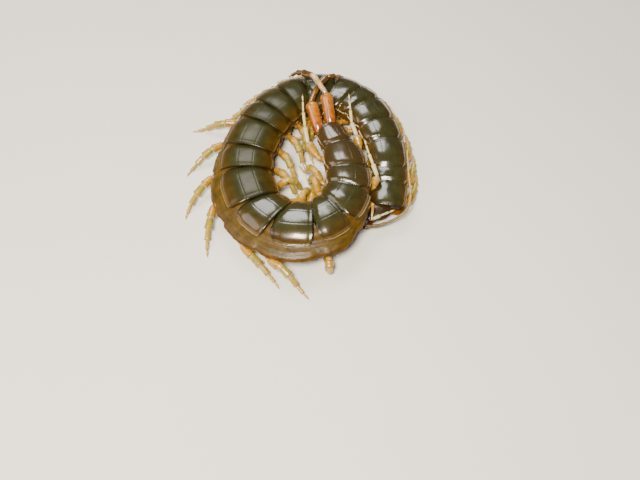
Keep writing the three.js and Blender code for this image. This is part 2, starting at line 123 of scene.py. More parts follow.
# Belly plates: share of the half width that they cover, how far their sides turn up, and their ridges
BELLY_WIDTH = 0.56
BELLY_UPTURN = 0.3
BELLY_RIDGE = ((0.42, 0.05, 0.12),)
BELLY_FRONT = ((0, 0.06, 0.1),)

# How pale the bead along each back plate's sides is, from head to tail
RIM_PALENESS = (
    0.7, 0.8, 0.8, 0.8, 0.6, 0.3, 0.2, 0.1, 0.05, 0.05, 0.05, 0.1, 0.15, 0.35, 0.45, 0.4, 0.5, 0.8, 1,
    1, 0.5,
)

# Legs: share of the leg's length and radii at both ends of each article, then the swelling along an
# article, the marks of its ends, and how much each article takes of the fall to the floor
ARTICLES = (
    (0.07, 0.8, 0.8),
    (0.23, 1.05, 1.15),
    (0.21, 0.85, 0.95),
    (0.19, 0.65, 0.72),
    (0.16, 0.42, 0.45),
    (0.09, 0.3, 0.34),
    (0.05, 0.2, 0.08),
)
ARTICLE_PROFILE = (
    (0, 0.84), (0.06, 0.94), (0.2, 1), (0.45, 0.98), (0.7, 1.02), (0.86, 1.08), (0.95, 1.06), (1, 0.92),
)
ARTICLE_MARKS = (0.08, 0.92)
FIRST_LEG_LENGTH = 15
LEG_LENGTH_STEP = 0.3
LEG_FALL = (0, 0.7, 1, 0.7, 0.35, 0.35)
LEG_FALL_DEG = (-60, 200)
LEG_FALL_HALVINGS = 40
LEG_SIDES = 14

# Section of the flank, from under the plate's edge down to the belly's middle. Each point has its
# way out as shares of the half width, of the swelling, of the narrowing at a border and of the
# pleat, then its height as shares of the body's height and of that narrowing, and in millimetres.
FLANK_PROFILE = (
    (0.93, 0.2, 0, 0, 0.64, 0, 0),
    (0.95, 0.75, 0.5, 1, 0.54, 0, 0),
    (0.96, 1, 0.7, 1, 0.4, 0, 0),
    (0.82, 0.5, 0.5, 0.5, 0.2, 0, 0),
    (0.62, 0.15, 0, 0, 0.05, 0.15, 0),
    (0.34, 0, 0, 0, 0, 0, 0.25),
    (0, 0, 0, 0, 0, 0, 0.3),
)
# Height of the flank's hard islands, depth of its creases and height of its crumples
FLANK_RELIEF = {"island": 0.1, "crease": 0.14, "crumple": 0.08}

# Creases and hard islands of the flank, at shares of the way down from the crest to the belly's
# middle. An island is a place along the segment, a level, a half length and a half height.
FLANK_CREASES = (0.468, 0.528, 0.6, 0.68, 0.77)
FLANK_PATCHES = (
    (0.24, 0.496, 0.15, 0.015), (0.66, 0.5, 0.17, 0.014), (0.42, 0.563, 0.13, 0.02),
    (0.8, 0.566, 0.11, 0.018), (0.16, 0.638, 0.1, 0.022), (0.5, 0.642, 0.13, 0.02),
    (0.34, 0.725, 0.1, 0.026), (0.7, 0.725, 0.1, 0.026),
)

# Breathing holes: the segments that have them, counted from 0, and the place, size and stand of one
SPIRACLE_SEGMENTS = (2, 4, 7, 9, 11, 13, 15, 17, 19)
SPIRACLE = {"along": 0.66, "level": 0.45, "length": 0.62, "height": 0.34, "stand": 0.08, "sides": 24}
# Rim of a breathing hole from its edge inwards: width of the step, rise and darkness, which deep in the hole
# is painted shade
SPIRACLE_RIM = ((0.02, 0.02, 0.1), (0.09, 0.08, 0), (0.09, -0.04, 0.6), (0.06, -0.2, 1))

# Flesh of each article over the plain solid, and the legs that are thin beyond the thigh and painted pale
# there, partly their own colour and partly a painted highlight
LEG_STOUTNESS = (1.1, 1.2, 1.36, 1.3, 1.25, 1.1)
PALE_STOUTNESS = (1.1, 1.2, 0.8, 0.72, 0.75, 0.8)
PALE_LEGS = ("18_left", "19_left", "20_left", "20_right")

# Soft joint between two articles: the least space before and after it, what a bend needs more, the
# most of an article that it takes up, and its width beside theirs. A knee that turns further than
# KNEE_TURN is rounded, with a ring at each of these shares of its bend.
SOFT_JOINT = {"before": 0.2, "after": 0.22, "room": 0.08, "most": 0.4, "width": 0.84}
ROOT_SPACE = 0.1
KNEE_TURN = math.radians(55)
ROUND_KNEE = (0.15, 0.35, 0.5, 0.65, 0.85)

# Hip joint: its height as a share of the body's, how far the leg's root stands off the skin, its
# pitch and its section, then the distance from the skin and the radius of each of its rings
COXA = {"height": 0.25, "stand": 0.8, "pitch_deg": -20, "sides": 20, "flatness": 0.92}
COXA_PROFILE = ((-1.6, 2.1), (-0.7, 1.95), (-0.1, 1.7), (0.35, 1.5), (0.7, 1.42), (0.86, 1.3), (0.86, 0.9))

# Claw of a walking leg: the place along it and the share of its root's radius at each ring, and the
# two spurs at the end of the shin
CLAW_PROFILE = ((-0.25, 0.9), (0, 1), (0.3, 0.85), (0.6, 0.55), (0.85, 0.28), (1, 0.1))
CLAW_SIDES = 8
SPUR = {"length": 0.7, "radius": 0.1, "lean": 0.35, "from_joint": 0.35, "below": 0.2}

# Pose of each walking leg, first to twentieth: place along its segment, sweep towards the tail at
# its root, further turn by its tip, and pitch of its thigh, in degrees
LEFT_POSE = (
    (0.5, 75, 20, -15), (0.5, 75, 20, -15), (0.5, 75, 20, -15), (0.5, 75, 20, -15),
    (0.5, 75, 20, -10), (0.5, 75, 20, -10), (0.5, 75, 20, -10), (0.5, 75, 20, -10),
    (0.5, 75, 20, -10), (0.5, 72, 15, -10), (0.9, 25, 10, 0), (0.65, 45, 35, 0),
    (0.8, 45, 40, -6), (0.5, 60, 26, -8), (0.55, 90, -10, -12), (0.15, 76, -12, 10),
    (0.2, 0, 0, 0), (0.85, 0, 0, 0), (0.4, 0, 0, 0), (0.8, 0, 0, 0),
)
RIGHT_POSE = (
    (0.5, 55, 10, -25), (0.5, 55, 10, -25), (0.5, 55, 10, -25), (0.5, 55, 10, -20),
    (0.5, 45, 0, 4), (0.5, 20, 0, 25), (0.48, 31, 0, -14), (0.55, 26, 0, 30),
    (0.55, 42, 0, -2), (0.5, 27, 0, 25), (0.5, 31, 0, 25), (0.5, 42, 0, 25),
    (0.5, 46, 0, 25), (0.45, 4, 0, 45), (0.45, 25, 0, -14), (0.4, 12, 0, 45),
    (0.35, 35, 0, -8), (0.65, 49, 0, 36), (0.6, 58, 0, 30), (0.8, 0, 0, 0),
)
LEG_ROUTES = {
    "leg_17_left": ((2.9, -42.2, 3.7), (3.2, -41.2, 0.9), (2, -36, 0.45), (0, -29, 0.3)),
    "leg_18_left": (
        (17.9, -20.4, 7), (14.6, -25.8, 6.4), (15.3, -25.2, 6), (18.9, -23.1, 5.8), (24, -20.2, 5),
    ),
    "leg_19_left": ((18.8, -13.2, 9.2), (17.5, -8, 10), (16.4, -4, 10), (15.6, -0.5, 10), (14.4, 5, 10.1)),
    "leg_20_left": ((14.4, 3.8, 8.4), (11.2, 8.5, 9.2), (10.6, 12, 9.8), (10.2, 17, 11.3), (9.8, 24, 11.9)),
    "leg_20_right": ((-2.2, 0.8, 6.7), (-3.9, 4.5, 7.6), (-5, 10, 9.9), (-5.6, 15, 11.6), (-6, 23.5, 12.2)),
}

# Hindmost legs, thicker and longer, crossed over the back
TERMINAL_ARTICLES = (
    (0.06, 1.9, 1.9),
    (0.34, 2, 2.15),
    (0.23, 0.85, 0.95),
    (0.17, 1.15, 1.2),
    (0.1, 0.85, 0.9),
    (0.06, 0.6, 0.65),
    (0.04, 0.35, 0.1),
)
TERMINAL_SIDES = 20

# Their roots on the last segment, and the thorns in rows on the inner side of each thigh
TERMINAL_ROOT = {"across": 2.2, "ahead": 0.6, "height": 7.6}
THORN = {"length": 0.95, "radius": 0.26, "from_middle": 1.88}
CORNER_THORN = {"length": 1.3, "radius": 0.3, "from_middle": 1.9}
THORN_ROWS = 3
TERMINAL_ROUTES = {
    "left": (
        (3.2, 12.3, 8.3), (2, 22.2, 13.8), (-1, 26, 16.6), (-3.4, 28.7, 15.8), (-7.6, 33, 12.9),
        (-11.2, 31.2, 11.8),
    ),
    "right": (
        (-1.2, 10.6, 8), (-3.4, 21, 12.3), (-0.9, 26.5, 12), (2.9, 31.8, 12.3), (8.6, 32, 11.3),
    ),
}

# Head: its place and size, then the share of the half width and the height of each of its rings
HEAD = {"x": 20.5, "y": -17.2, "heading_deg": -152, "length": 10.2, "half_width": 4.7}
HEAD_OUTLINE = (0.8, 0.94, 1, 0.97, 0.87, 0.68, 0.4, 0.14)
HEAD_TOP = (5.4, 5.6, 5.6, 5.4, 5, 4.6, 4.2, 3.9)
HEAD_UNDERSIDE = 2.5
HEAD_STEPS = 4

# Plate on the head: its wall, how far it stands off the capsule, its reach and its beads and grooves
HEAD_PLATE = {"thickness": 0.18, "over_capsule": 0.22, "half_angle_deg": 84, "front": 0.55, "rear": -0.1}
HEAD_SIDE_BEAD = ((0.96, 0.03, 0.12),)
HEAD_REAR_BEAD = ((0.03, 0.03, 0.1),)
HEAD_GROOVE = ((0.3, 0.02, -0.1),)

# Poison claws and the plate that carries them, in the head's own measures: out, forward and up
POISON_BASE = {"length": 5.2, "half_width": (3.2, 3.7, 3.5, 2.8), "bottom": 0.4, "top": 2.1}
POISON_TEETH = 4
POISON_CLAW_RADIUS = (0.95, 1, 0.85, 0.6, 0.1)
POISON_CLAW_SIDES = 20
POISON_CLAW_STEPS = 8
POISON_CLAW_ROUTE = (
    (2.3, 5, 1.25), (2.6, 6.4, 1.2), (3.7, 7.4, 1.3), (3.6, 8.8, 1.3), (2.4, 9.9, 1.2), (0.6, 10.4, 1),
)

# Eyes: place along the head's outline and angle down from its crest
EYE_RADIUS = 0.34
EYE_SPOTS = ((4.6, 78), (5.1, 76), (4.7, 54), (5.2, 50))

# Antennae: radius at both ends, shape of one bead, root in the head's measures and way in the plan's
ANTENNA_RADIUS = (0.55, 0.16)
ANTENNA_ARTICLES = 18
ANTENNA_PROFILE = ((0, 0.78), (0.12, 0.95), (0.4, 1.03), (0.7, 1.03), (0.9, 0.95))
ANTENNA_ROOT = (1.7, HEAD["length"] - 0.9, 3.5)
ANTENNA_TIP_RADIUS = 0.06
ANTENNA_SIDES = 12
ANTENNA_STEPS = 60
ANTENNA_ROUTES = {
    "left": (
        (15, -25.3, 3.2), (20.4, -24.4, 3.4), (26.6, -21.2, 4.9), (28.7, -16, 6.2), (28.8, -7, 5.9),
        (28.9, 3, 6.4),
    ),
    "right": (
        (9.4, -19.6, 3.6), (7.6, -15, 3.6), (6.6, -9, 3.6), (6.4, -1, 3.5), (7.2, 6, 3.4), (8.2, 10, 3.2),
    ),
}

# Vertex marks that the materials read: place across, place along, share of the way to the tail,
# and how hard and dark the skin is there. On the soft flank the place along holds the depth of the
# creases instead, which its material darkens as painted shade.
MARKS = ("across", "along", "tail", "hard")
JOIN_DISTANCE = 1e-4

# A ring of a limb: its middle, the limb's way there, its radius and the place that it is marked with
Station = namedtuple("Station", "point way radius place")
STATION_GAP = 0.01

# The photograph's camera: place over the model, angle below the horizon and focal length
CAMERA_PLACE = Vector((0, -146, 181))
CAMERA_PITCH_DEG = 57
PICTURE_WIDTH_PX = 640
FOCAL_LENGTH_PX = 686
SENSOR_WIDTH_MM = 36


def linear(hex_code):
    """Linear colour of an sRGB hex code."""
    shares = [int(hex_code[i : i + 2], 16) / 255 for i in (0, 2, 4)]
    return [c / 12.92 if c <= 0.04045 else ((c + 0.055) / 1.055) ** 2.4 for c in shares]


def length_setting(name, description, millimetres):
    return FloatProperty(
        name=name, description=description, default=millimetres * MM, min=0, unit="LENGTH", precision=5
    )


def colour_setting(name, description, hex_code):
    return FloatVectorProperty(
        name=name, description=description, subtype="COLOR", default=linear(hex_code), min=0, max=1
    )


class CentipedeSizes(bpy.types.PropertyGroup):
    """Thicknesses and small reliefs"""

    plate_thickness: length_setting("Plate thickness", "Thickness of the back and belly plates", 0.22)
    suture_depth: length_setting("Suture depth", "Depth of the two grooves along each back plate", 0.032)
    rim_height: length_setting("Rim height", "Height of the bead along a back plate's side", 0.16)
    doming: length_setting("Doming", "How far each back plate bulges along its length", 0.5)
    unevenness: length_setting("Unevenness", "Height of the soft dents in the back plates", 0.12)
    pleat_depth: length_setting("Pleat depth", "Depth of the pleats in the soft flank", 0.16)


class CentipedeColours(bpy.types.PropertyGroup):
    """Colours of the cuticle"""

    plate: colour_setting("Plate", "Middle of the back plates", "29280E")
    plate_side: colour_setting("Plate side", "Sides of the back plates", "3A2906")
    plate_rim: colour_setting("Plate rim", "Bead along the side of the back plates", "A08450")
    hind_plate: colour_setting("Hind plate", "Last back plate", "35260A")
    membrane: colour_setting("Membrane", "Soft skin between the plates", "4A360C")
    flank: colour_setting("Flank", "Soft skin of the side", "4C380A")
    belly: colour_setting("Belly", "Belly plates", "7A6C2C")
    thigh: colour_setting("Thigh", "First articles of the walking legs", "A0740E")
    shin: colour_setting("Shin", "Middle articles of the walking legs", "9A822C")
    foot: colour_setting("Foot", "Last articles of the walking legs", "B2924A")
    terminal: colour_setting("Hindmost legs", "Hindmost legs", "8E4A0A")
    antenna: colour_setting("Antenna", "Antennae", "A48A4C")
    head: colour_setting("Head", "Head plate", "2A1C08")
    poison_claw: colour_setting("Poison claw", "Poison claws and their base", "40200A")


def smoothstep(x):
    x = min(1, max(0, x))
    return x * x * (3 - 2 * x)


def hump(x, middle, width):
    return math.exp(-(((x - middle) / width) ** 2))


def ridges(x, shapes):
    """Height at x over ridges, or under furrows, that each have a place, a width and a height."""
    return sum(height * hump(x, middle, width) for middle, width, height in shapes)


def lerp(a, b, t):
    return a + (b - a) * t


def between(values, place):
    """A value read between the entries of a list, at a place counted from 0."""
    k = min(max(int(place), 0), len(values) - 2)
    return lerp(values[k], values[k + 1], min(max(place - k, 0), 1))


def smooth_through(points, steps):
    """A smooth line through points or numbers, with so many steps between each two."""
    ends = [2 * points[0] - points[1], *points, 2 * points[-1] - points[-2]]
    line = []
    for a, b, c, d in zip(ends, ends[1:], ends[2:], ends[3:]):
        for i in range(steps):
            t = i / steps
            near = 2 * b + (c - a) * t + (2 * a - 5 * b + 4 * c - d) * t**2
            line.append(0.5 * (near + (3 * b - a - 3 * c + d) * t**3))
    return [*line, points[-1]]


def step_along(place, distance, length, bend):
    """Where a walk along an arc ends, for an arc that turns by bend over its whole length."""
    point, heading = place
    turned = bend * distance / length
    chord = distance if abs(turned) < 1e-6 else distance * math.sin(turned / 2) / (turned / 2)
    way = heading + turned / 2
    return point + chord * Vector((math.cos(way), math.sin(way), 0)), heading + turned


BORDERS = [0]
PLACES = [(START, math.radians(START_HEADING_DEG))]
for plate_length, bend_deg in zip(PLATE_LENGTH, BEND_DEG):
    BORDERS.append(BORDERS[-1] + plate_length)
    PLACES.append(step_along(PLACES[-1], plate_length, plate_length, math.radians(bend_deg)))
TRUNK_LENGTH = BORDERS[-1]


def segment_at(s):
    return next((k for k in range(SEGMENTS) if s <= BORDERS[k + 1] + 1e-6), SEGMENTS - 1)


def sides_of(place):
    """Point of the trunk's middle line, the way to the tail and the way to the animal's left."""
    point, heading = place
    back = Vector((math.cos(heading), math.sin(heading), 0))
    return point, back, Vector((back.y, -back.x, 0))


def trunk_frame(s):
    k = segment_at(s)
    bend = math.radians(BEND_DEG[k])
    return sides_of(step_along(PLACES[k], s - BORDERS[k], PLATE_LENGTH[k], bend))


def along(values, s):
    """A list of one value for each segment, read between the middles of the segments."""

    def middle(k):
        return (BORDERS[k] + BORDERS[k + 1]) / 2

    k = segment_at(s)
    k = min(max(k - (s < middle(k)), 0), SEGMENTS - 2)
    return between(values, k + min(max((s - middle(k)) / (middle(k + 1) - middle(k)), 0), 1))


def border_turn(s):
    """Angle that opens between two plates at the border nearest to s, where plates keep straight."""
    k = segment_at(s)
    k += s > (BORDERS[k] + BORDERS[k + 1]) / 2
    bends = BEND_DEG[max(k - 1, 0) : k + 1]
    return PLATE_STRAIGHTNESS * math.radians(sum(bends) / 2)


def to_border(s):
    k = segment_at(s)
    return min(s - BORDERS[k], BORDERS[k + 1] - s)


def crown(x):
    """Height of a back plate over its edge, as a share, at a share x of its half width."""
    dome = math.sqrt(max(0, 1 - (min(x, BRIM) / 0.985) ** 2.05))
    return dome - max(0, x - BRIM) * 1.3


def new_bmesh():
    bm = bmesh.new()
    for name in MARKS:
        bm.verts.layers.float.new(name)
    return bm


def mark(bm, vert, **marks):
    for name, value in marks.items():
        vert[bm.verts.layers.float[name]] = value


def new_grid(bm, columns, rows):
    """Adds a grid, and gives each of its vertices with its column and its row."""
    verts = bmesh.ops.create_grid(bm, x_segments=columns, y_segments=rows, size=1)["verts"]
    return [
        (vert, round((vert.co.x + 1) / 2 * columns), round((vert.co.y + 1) / 2 * rows))
        for vert in verts
    ]


def sealed(bm, verts):
    """Joins the seam of a grid that was wrapped round, and fills its two ends."""
    bmesh.ops.remove_doubles(bm, verts=verts, dist=JOIN_DISTANCE)
    edges = {edge for vert in verts if vert.is_valid for edge in vert.link_edges}
    bmesh.ops.holes_fill(bm, edges=[edge for edge in edges if edge.is_boundary], sides=0)


def lofted(bm, rings, marks, tail=0, hard=0):
    """A closed skin over rings of points, wrapped from a grid.

    Its vertices keep marks[row] as their place along, and the cosine of their place round the
    ring as their place across.
    """
    columns = len(rings[0])
    grid = new_grid(bm, columns, len(rings) - 1)
    for vert, column, row in grid:
        vert.co = rings[row][column % columns]
        across = math.cos(column % columns / columns * 2 * math.pi)
        mark(bm, vert, across=across, along=marks[row], tail=tail, hard=hard)
    sealed(bm, [vert for vert, _, _ in grid])


def thickened(bm, grid, faces_up, thickness):
    """Turns a grid to face up or down, and gives it an underside joined round the rim."""
    verts = [vert for vert, _, _ in grid]
    faces = list({face for vert in verts for face in vert.link_faces})
    bmesh.ops.recalc_face_normals(bm, faces=faces)
    if (sum(face.normal.z for face in faces) > 0) != faces_up:
        bmesh.ops.reverse_faces(bm, faces=faces)
    edges = list({edge for face in faces for edge in face.edges})
    rims = [edge for edge in edges if edge.is_boundary]
    copied = bmesh.ops.duplicate(bm, geom=[*verts, *edges, *faces])
    bm.normal_update()
    under = [piece for piece in copied["geom"] if isinstance(piece, bmesh.types.BMFace)]
    sunk = {vert: vert.co - vert.normal * thickness for face in under for vert in face.verts}
    for vert, place in sunk.items():
        vert.co = place
    bmesh.ops.reverse_faces(bm, faces=under)
    bmesh.ops.bridge_loops(bm, edges=[*rims, *(copied["edge_map"][edge] for edge in rims)])


def finished(name, bm, material, nodes):
    """Makes the piece's object from its mesh, hangs it on the root, and hides the imported parts that it
    stands for.
    """
    bmesh.ops.translate(bm, verts=bm.verts, vec=-PLAN_MIDDLE)
    bmesh.ops.recalc_face_normals(bm, faces=bm.faces)
    bmesh.ops.scale(bm, verts=bm.verts, vec=(MM, MM, MM))
    for face in bm.faces:
        face.smooth = True
    mesh = bpy.data.meshes.new(name)
    bm.to_mesh(mesh)
    bm.free()
    mesh.materials.append(material)
    piece = bpy.data.objects.new(name, mesh)
    bpy.context.scene.collection.objects.link(piece)
    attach(piece, "root")
    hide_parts(*nodes)
    return piece


def add(tree, kind, inputs=None, stops=None, out=0, **settings):
    """Adds a shader node with its settings, and returns one of its outputs.

    An input is a socket to link or a constant. A stop of a ramp is a place with a colour or a grey.
    """
    node = tree.nodes.new("ShaderNode" + kind)
    for name, value in settings.items():
        setattr(node, name, value)
    if stops:
        ramp = node.color_ramp
        while len(ramp.elements) < len(stops):
            ramp.elements.new(1)
        for element, (position, shade) in zip(ramp.elements, stops):
            element.position = position
            element.color = (*shade, 1) if hasattr(shade, "__len__") else (shade, shade, shade, 1)
    for name, value in (inputs or {}).items():
        socket = node.inputs[name]
        if isinstance(value, bpy.types.NodeSocket):
            tree.links.new(value, socket)
        else:
            socket.default_value = (*value, 1) if socket.type == "RGBA" else value
    return node.outputs[out]


def new_material(name, **constants):
    """A material whose shader has these constants, with its node tree."""
    material = bpy.data.materials.new(name)
    material.use_nodes = True
    shader = material.node_tree.nodes["Principled BSDF"]
    for socket, value in constants.items():
        shader.inputs[socket.replace("_", " ")].default_value = value
    return material, material.node_tree


def pattern(tree, of, detail=3):
    """What a material reads: a mark of the mesh by its name, or soft clouds by their size in mm."""
    if of in MARKS:
        return add(tree, "Attribute", out="Fac", attribute_name=of)
    place = add(tree, "TexCoord", out="Object")
    return add(tree, "TexNoise", {"Vector": place, "Scale": 1 / (of * MM), "Detail": detail}, out="Fac")


def layered(tree, base, *layers):
    """A colour under layers, each of which reads a socket, a mark or clouds, through a ramp or not.

    A layer that ends in a colour covers what lies below with it as far as it reads. One that ends
    in a number shades what lies below by what it reads, in that share.
    """
    for source, stops, over in layers:
        if not isinstance(source, bpy.types.NodeSocket):
            source = pattern(tree, source)
        read = add(tree, "ValToRGB", {"Fac": source}, stops) if stops else source
        if hasattr(over, "__len__"):
            inputs, blend_type = {0: read, 6: base, 7: over}, "MIX"
        else:
            inputs, blend_type = {0: over, 6: base, 7: read}, "MULTIPLY"
        base = add(tree, "Mix", inputs, out=2, data_type="RGBA", blend_type=blend_type)
    return base


def surfaced(material, base, gloss=None, grain=None, **sockets):
    """Links a material's colour, its wandering roughness, its relief and further sockets.

    Gloss is the lowest and the highest roughness and the size of its clouds in millimetres. Grain
    is the size of the relief's noise, its detail, its depth in millimetres and its strength. The
    pits of a real cuticle are some hundredths of a millimetre wide, which is too fine to show, so
    the grain is as coarse as it needs to be.
    """
    tree = material.node_tree
    sockets["Base_Color"] = base
    if gloss:
        low, high, size_mm = gloss
        inputs = {"Value": pattern(tree, size_mm), "To Min": low, "To Max": high}
        sockets["Roughness"] = add(tree, "MapRange", inputs)
    if grain:
        size_mm, detail, depth_mm, strength = grain
        height = pattern(tree, size_mm, detail)
        inputs = {"Height": height, "Distance": depth_mm * MM, "Strength": strength}
        sockets["Normal"] = add(tree, "Bump", inputs)
    shader = tree.nodes["Principled BSDF"]
    for name, socket in sockets.items():
        tree.links.new(socket, shader.inputs[name.replace("_", " ")])
    return material


def sclerite_cuticle(colours):
    """Waxed, tanned chitin of the back plates: near black olive, so that only gloss shows shape.

    The wax is worn off the plates of the middle, which makes their gloss broader and duller.
    """
    material, tree = new_material(
        "waxed_back_cuticle", IOR=1.5, Coat_Roughness=0.17, Specular_IOR_Level=0.16
    )
    side = add(tree, "Math", {0: pattern(tree, "across")}, operation="ABSOLUTE")
    wander = add(tree, "MapRange", {"Value": pattern(tree, 2.5), "To Min": -0.16, "To Max": 0.16})
    browning = add(tree, "Math", {0: side, 1: wander}, operation="ADD")
    base = layered(
        tree,
        colours.plate,
        (browning, [(0.42, 0), (0.86, 1)], colours.plate_side),
        (side, [(0.86, 0), (0.96, 0.75)], linear("4E3A10")),
        (3.4, [(0.35, 0.72), (0.7, 1.35)], 0.8),
        ("tail", [(0.84, 0), (0.9, 0.35), (1, 1)], colours.hind_plate),
        # Painted shade: the front of each plate, which lies under the plate before it, is darkened; the rear
        # edge is darker too.
        ("along", [(0, 0.35), (0.07, 0.85), (0.12, 1), (0.94, 1), (0.97, 0.6), (1, 0.4)], 1),
        ("hard", [(0, 0), (1, 1)], colours.plate_rim),
    )
    wax = [(0.33, 1), (0.4, 0.05), (0.66, 0.1), (0.7, 0.8), (0.75, 1)]
    wax = add(tree, "ValToRGB", {"Fac": pattern(tree, "tail")}, wax)
    worn = add(tree, "MapRange", {"Value": wax, "From Min": 1, "From Max": 0.06, "To Max": 0.07})
    low, high = (add(tree, "Math", {0: worn, 1: rough}, operation="ADD") for rough in (0.18, 0.34))
    return surfaced(material, base, (low, high, 1.6), (0.5, 5, 0.03, 0.35), Coat_Weight=wax)


def arthrodial_membrane(colours):
    """Soft untanned cuticle of the flanks: leathery, wrinkled, amber with hard brown islands."""
    material, tree = new_material("wrinkled_flank_cuticle", IOR=1.38, Specular_IOR_Level=0.35)
    downwards = [
        (0, colours.membrane), (0.44, colours.membrane), (0.48, linear("52400E")), (0.54, colours.flank),
        (0.64, linear("5E3C08")), (0.78, linear("6A3E06")), (1, colours.belly),
    ]
    base = layered(
        tree,
        add(tree, "ValToRGB", {"Fac": pattern(tree, "across")}, downwards),
        (2.2, [(0.3, 0.6), (0.7, 1.25)], 0.9),
        ("hard", None, linear("33280C")),
        # Painted shade: the flank darkens in its creases and at the segment borders, as deep as the along
        # mark says.
        ("along", [(0, 1), (0.8, 0.68)], 1),
    )
    return surfaced(material, base, gloss=(0.28, 0.44, 1.2), grain=(0.7, 6, 0.12, 0.6))


def belly_cuticle(colours):
    """Thin tanned chitin of the belly plates: olive straw, satin."""
    material, tree = new_material("satin_belly_cuticle", IOR=1.5)
    base = layered(tree, colours.belly, (3, [(0.3, 0.75), (0.75, 1.15)], 1))
    return surfaced(material, base, gloss=(0.3, 0.42, 1.5), grain=(0.5, 3, 0.02, 0.3))


def leg_cuticle(colours):
    """Glossy clear amber chitin of the legs, thinner and paler towards the foot, pale at the joints."""
    material, tree = new_material(
        "clear_amber_leg_cuticle", IOR=1.55, Coat_Weight=0.3, Coat_Roughness=0.15
    )
    article = pattern(tree, "along")
    share = add(tree, "Math", {0: article, 1: len(ARTICLES)}, operation="DIVIDE")
    outwards = [
        (0, linear("7A4C0E")), (0.13, colours.thigh), (0.24, colours.thigh), (0.32, linear("847A22")),
        (0.44, colours.shin), (0.58, colours.shin), (0.7, colours.foot), (0.86, colours.foot),
    ]
    beyond_thigh = add(tree, "MapRange", {"Value": article, "From Min": 1.7, "From Max": 2.2})
    slim = add(tree, "Math", {0: beyond_thigh, 1: pattern(tree, "hard")}, operation="MULTIPLY")
    inside = add(tree, "Math", {0: article}, operation="FRACT")
    base = layered(
        tree,
        add(tree, "ValToRGB", {"Fac": share}, outwards),
        (1.6, [(0.3, 0.7), (0.7, 1.2)], 0.8),
        # Partly painted highlight: the pale legs are painted paler beyond the thigh.
        (slim, None, linear("C4B684")),
        (inside, [(0, 1), (0.04, 1), (0.09, 0), (0.93, 0), (0.97, 1)], linear("A88434")),
        (inside, [(0.8, 0), (0.89, 0.5), (0.93, 0)], linear("5E3C0C")),
    )
    return surfaced(material, base, gloss=(0.2, 0.36, 1), grain=(0.35, 3, 0.02, 0.25))


def terminal_cuticle(colours):
    """Thick glossy rust-orange chitin of the hindmost legs. The femur of the left one is painted pale
    as a painted highlight, and the articles beyond the femur are darker, partly painted shade.
    """
    material, tree = new_material(
        "rust_orange_leg_cuticle", IOR=1.56, Coat_Weight=1, Coat_Roughness=0.1, Specular_IOR_Level=0.3
    )
    articles = {0: pattern(tree, "along"), 1: len(TERMINAL_ARTICLES)}
    share = add(tree, "Math", articles, operation="DIVIDE")
    # Beyond the femur the articles turn dark brown: partly the legs' own colour, partly painted shade.
    outwards = [
        (0, linear("4A1A06")), (0.12, linear("6A2A04")), (0.18, colours.terminal), (0.26, linear("A0640E")),
        (0.3, linear("7A4E0C")), (0.42, linear("5E3C06")), (0.6, linear("4E3204")), (0.85, linear("5A3C0A")),
        (1, linear("3A2008")),
    ]
    # Painted highlight: the left leg's femur is painted pale.
    femur = [(0.28, 0), (0.3, 1), (0.42, 1), (0.45, 0)]
    femur = add(tree, "ValToRGB", {"Fac": share}, femur)
    femur = add(tree, "Math", {0: femur, 1: pattern(tree, "tail")}, operation="MULTIPLY")
    ridges = add(tree, "Math", {0: pattern(tree, "across"), 1: 9}, operation="MULTIPLY")
    ridges = add(tree, "Math", {0: ridges}, operation="SINE")
    ridges = add(tree, "MapRange", {"Value": ridges, "From Min": -1, "To Min": 0.7, "To Max": 1.15})
    base = layered(
        tree,
        add(tree, "ValToRGB", {"Fac": share}, outwards),
        (femur, None, linear("B89A68")),
        (ridges, None, 0.7),
        (1.5, [(0.36, 0.5), (0.66, 1.3)], 0.9),
        ("hard", None, linear("1C0E06")),
    )
    return surfaced(material, base, gloss=(0.18, 0.34, 1.2), grain=(0.4, 5, 0.04, 0.35))


def antenna_cuticle(colours):
    """Straw chitin of the antennae under fine down: satin, with darker joints."""
    material, tree = new_material("straw_antenna_cuticle", IOR=1.5)
    outwards = [(0, linear("3E3010")), (0.3, linear("6E5A28")), (0.6, colours.antenna), (1, linear("C4AC70"))]
    inside = add(tree, "Math", {0: pattern(tree, "along")}, operation="FRACT")
    base = layered(
        tree,
        add(tree, "ValToRGB", {"Fac": pattern(tree, "tail")}, outwards),
        (inside, [(0, 0.6), (0.1, 0), (0.9, 0), (1, 0.6)], linear("54441C")),
    )
    return surfaced(material, base, gloss=(0.35, 0.5, 0.8), grain=(0.2, 3, 0.02, 0.5))


def head_cuticle(colours):
    """Waxed chitin of the head, brown where the light comes through its thin edges."""
    material, tree = new_material("waxed_head_cuticle", IOR=1.56, Coat_Weight=0.5, Coat_Roughness=0.14)
    base = layered(
        tree,
        colours.head,
        (2.4, [(0.3, 0.7), (0.75, 1.4)], 0.9),
        ("hard", [(0.4, 0), (0.9, 1)], linear("8A6A38")),
    )
    return surfaced(material, base, gloss=(0.16, 0.3, 1.4), grain=(0.4, 5, 0.03, 0.3))


def poison_claw_cuticle(colours):
    """Heavily tanned chitin of the poison claws: red brown, black at the tip."""
    material, tree = new_material("tanned_claw_cuticle", IOR=1.58, Coat_Weight=0.6, Coat_Roughness=0.1)
    claw = colours.poison_claw
    outwards = [(0, claw), (0.45, claw), (0.62, linear("3A1608")), (0.8, linear("0C0604"))]
    outwards = add(tree, "ValToRGB", {"Fac": pattern(tree, "along")}, outwards)
    base = layered(tree, outwards, (1.5, [(0.3, 0.7), (0.75, 1.2)], 0.8))
    return surfaced(material, base, gloss=(0.14, 0.26, 1), grain=(0.4, 3, 0.02, 0.2))


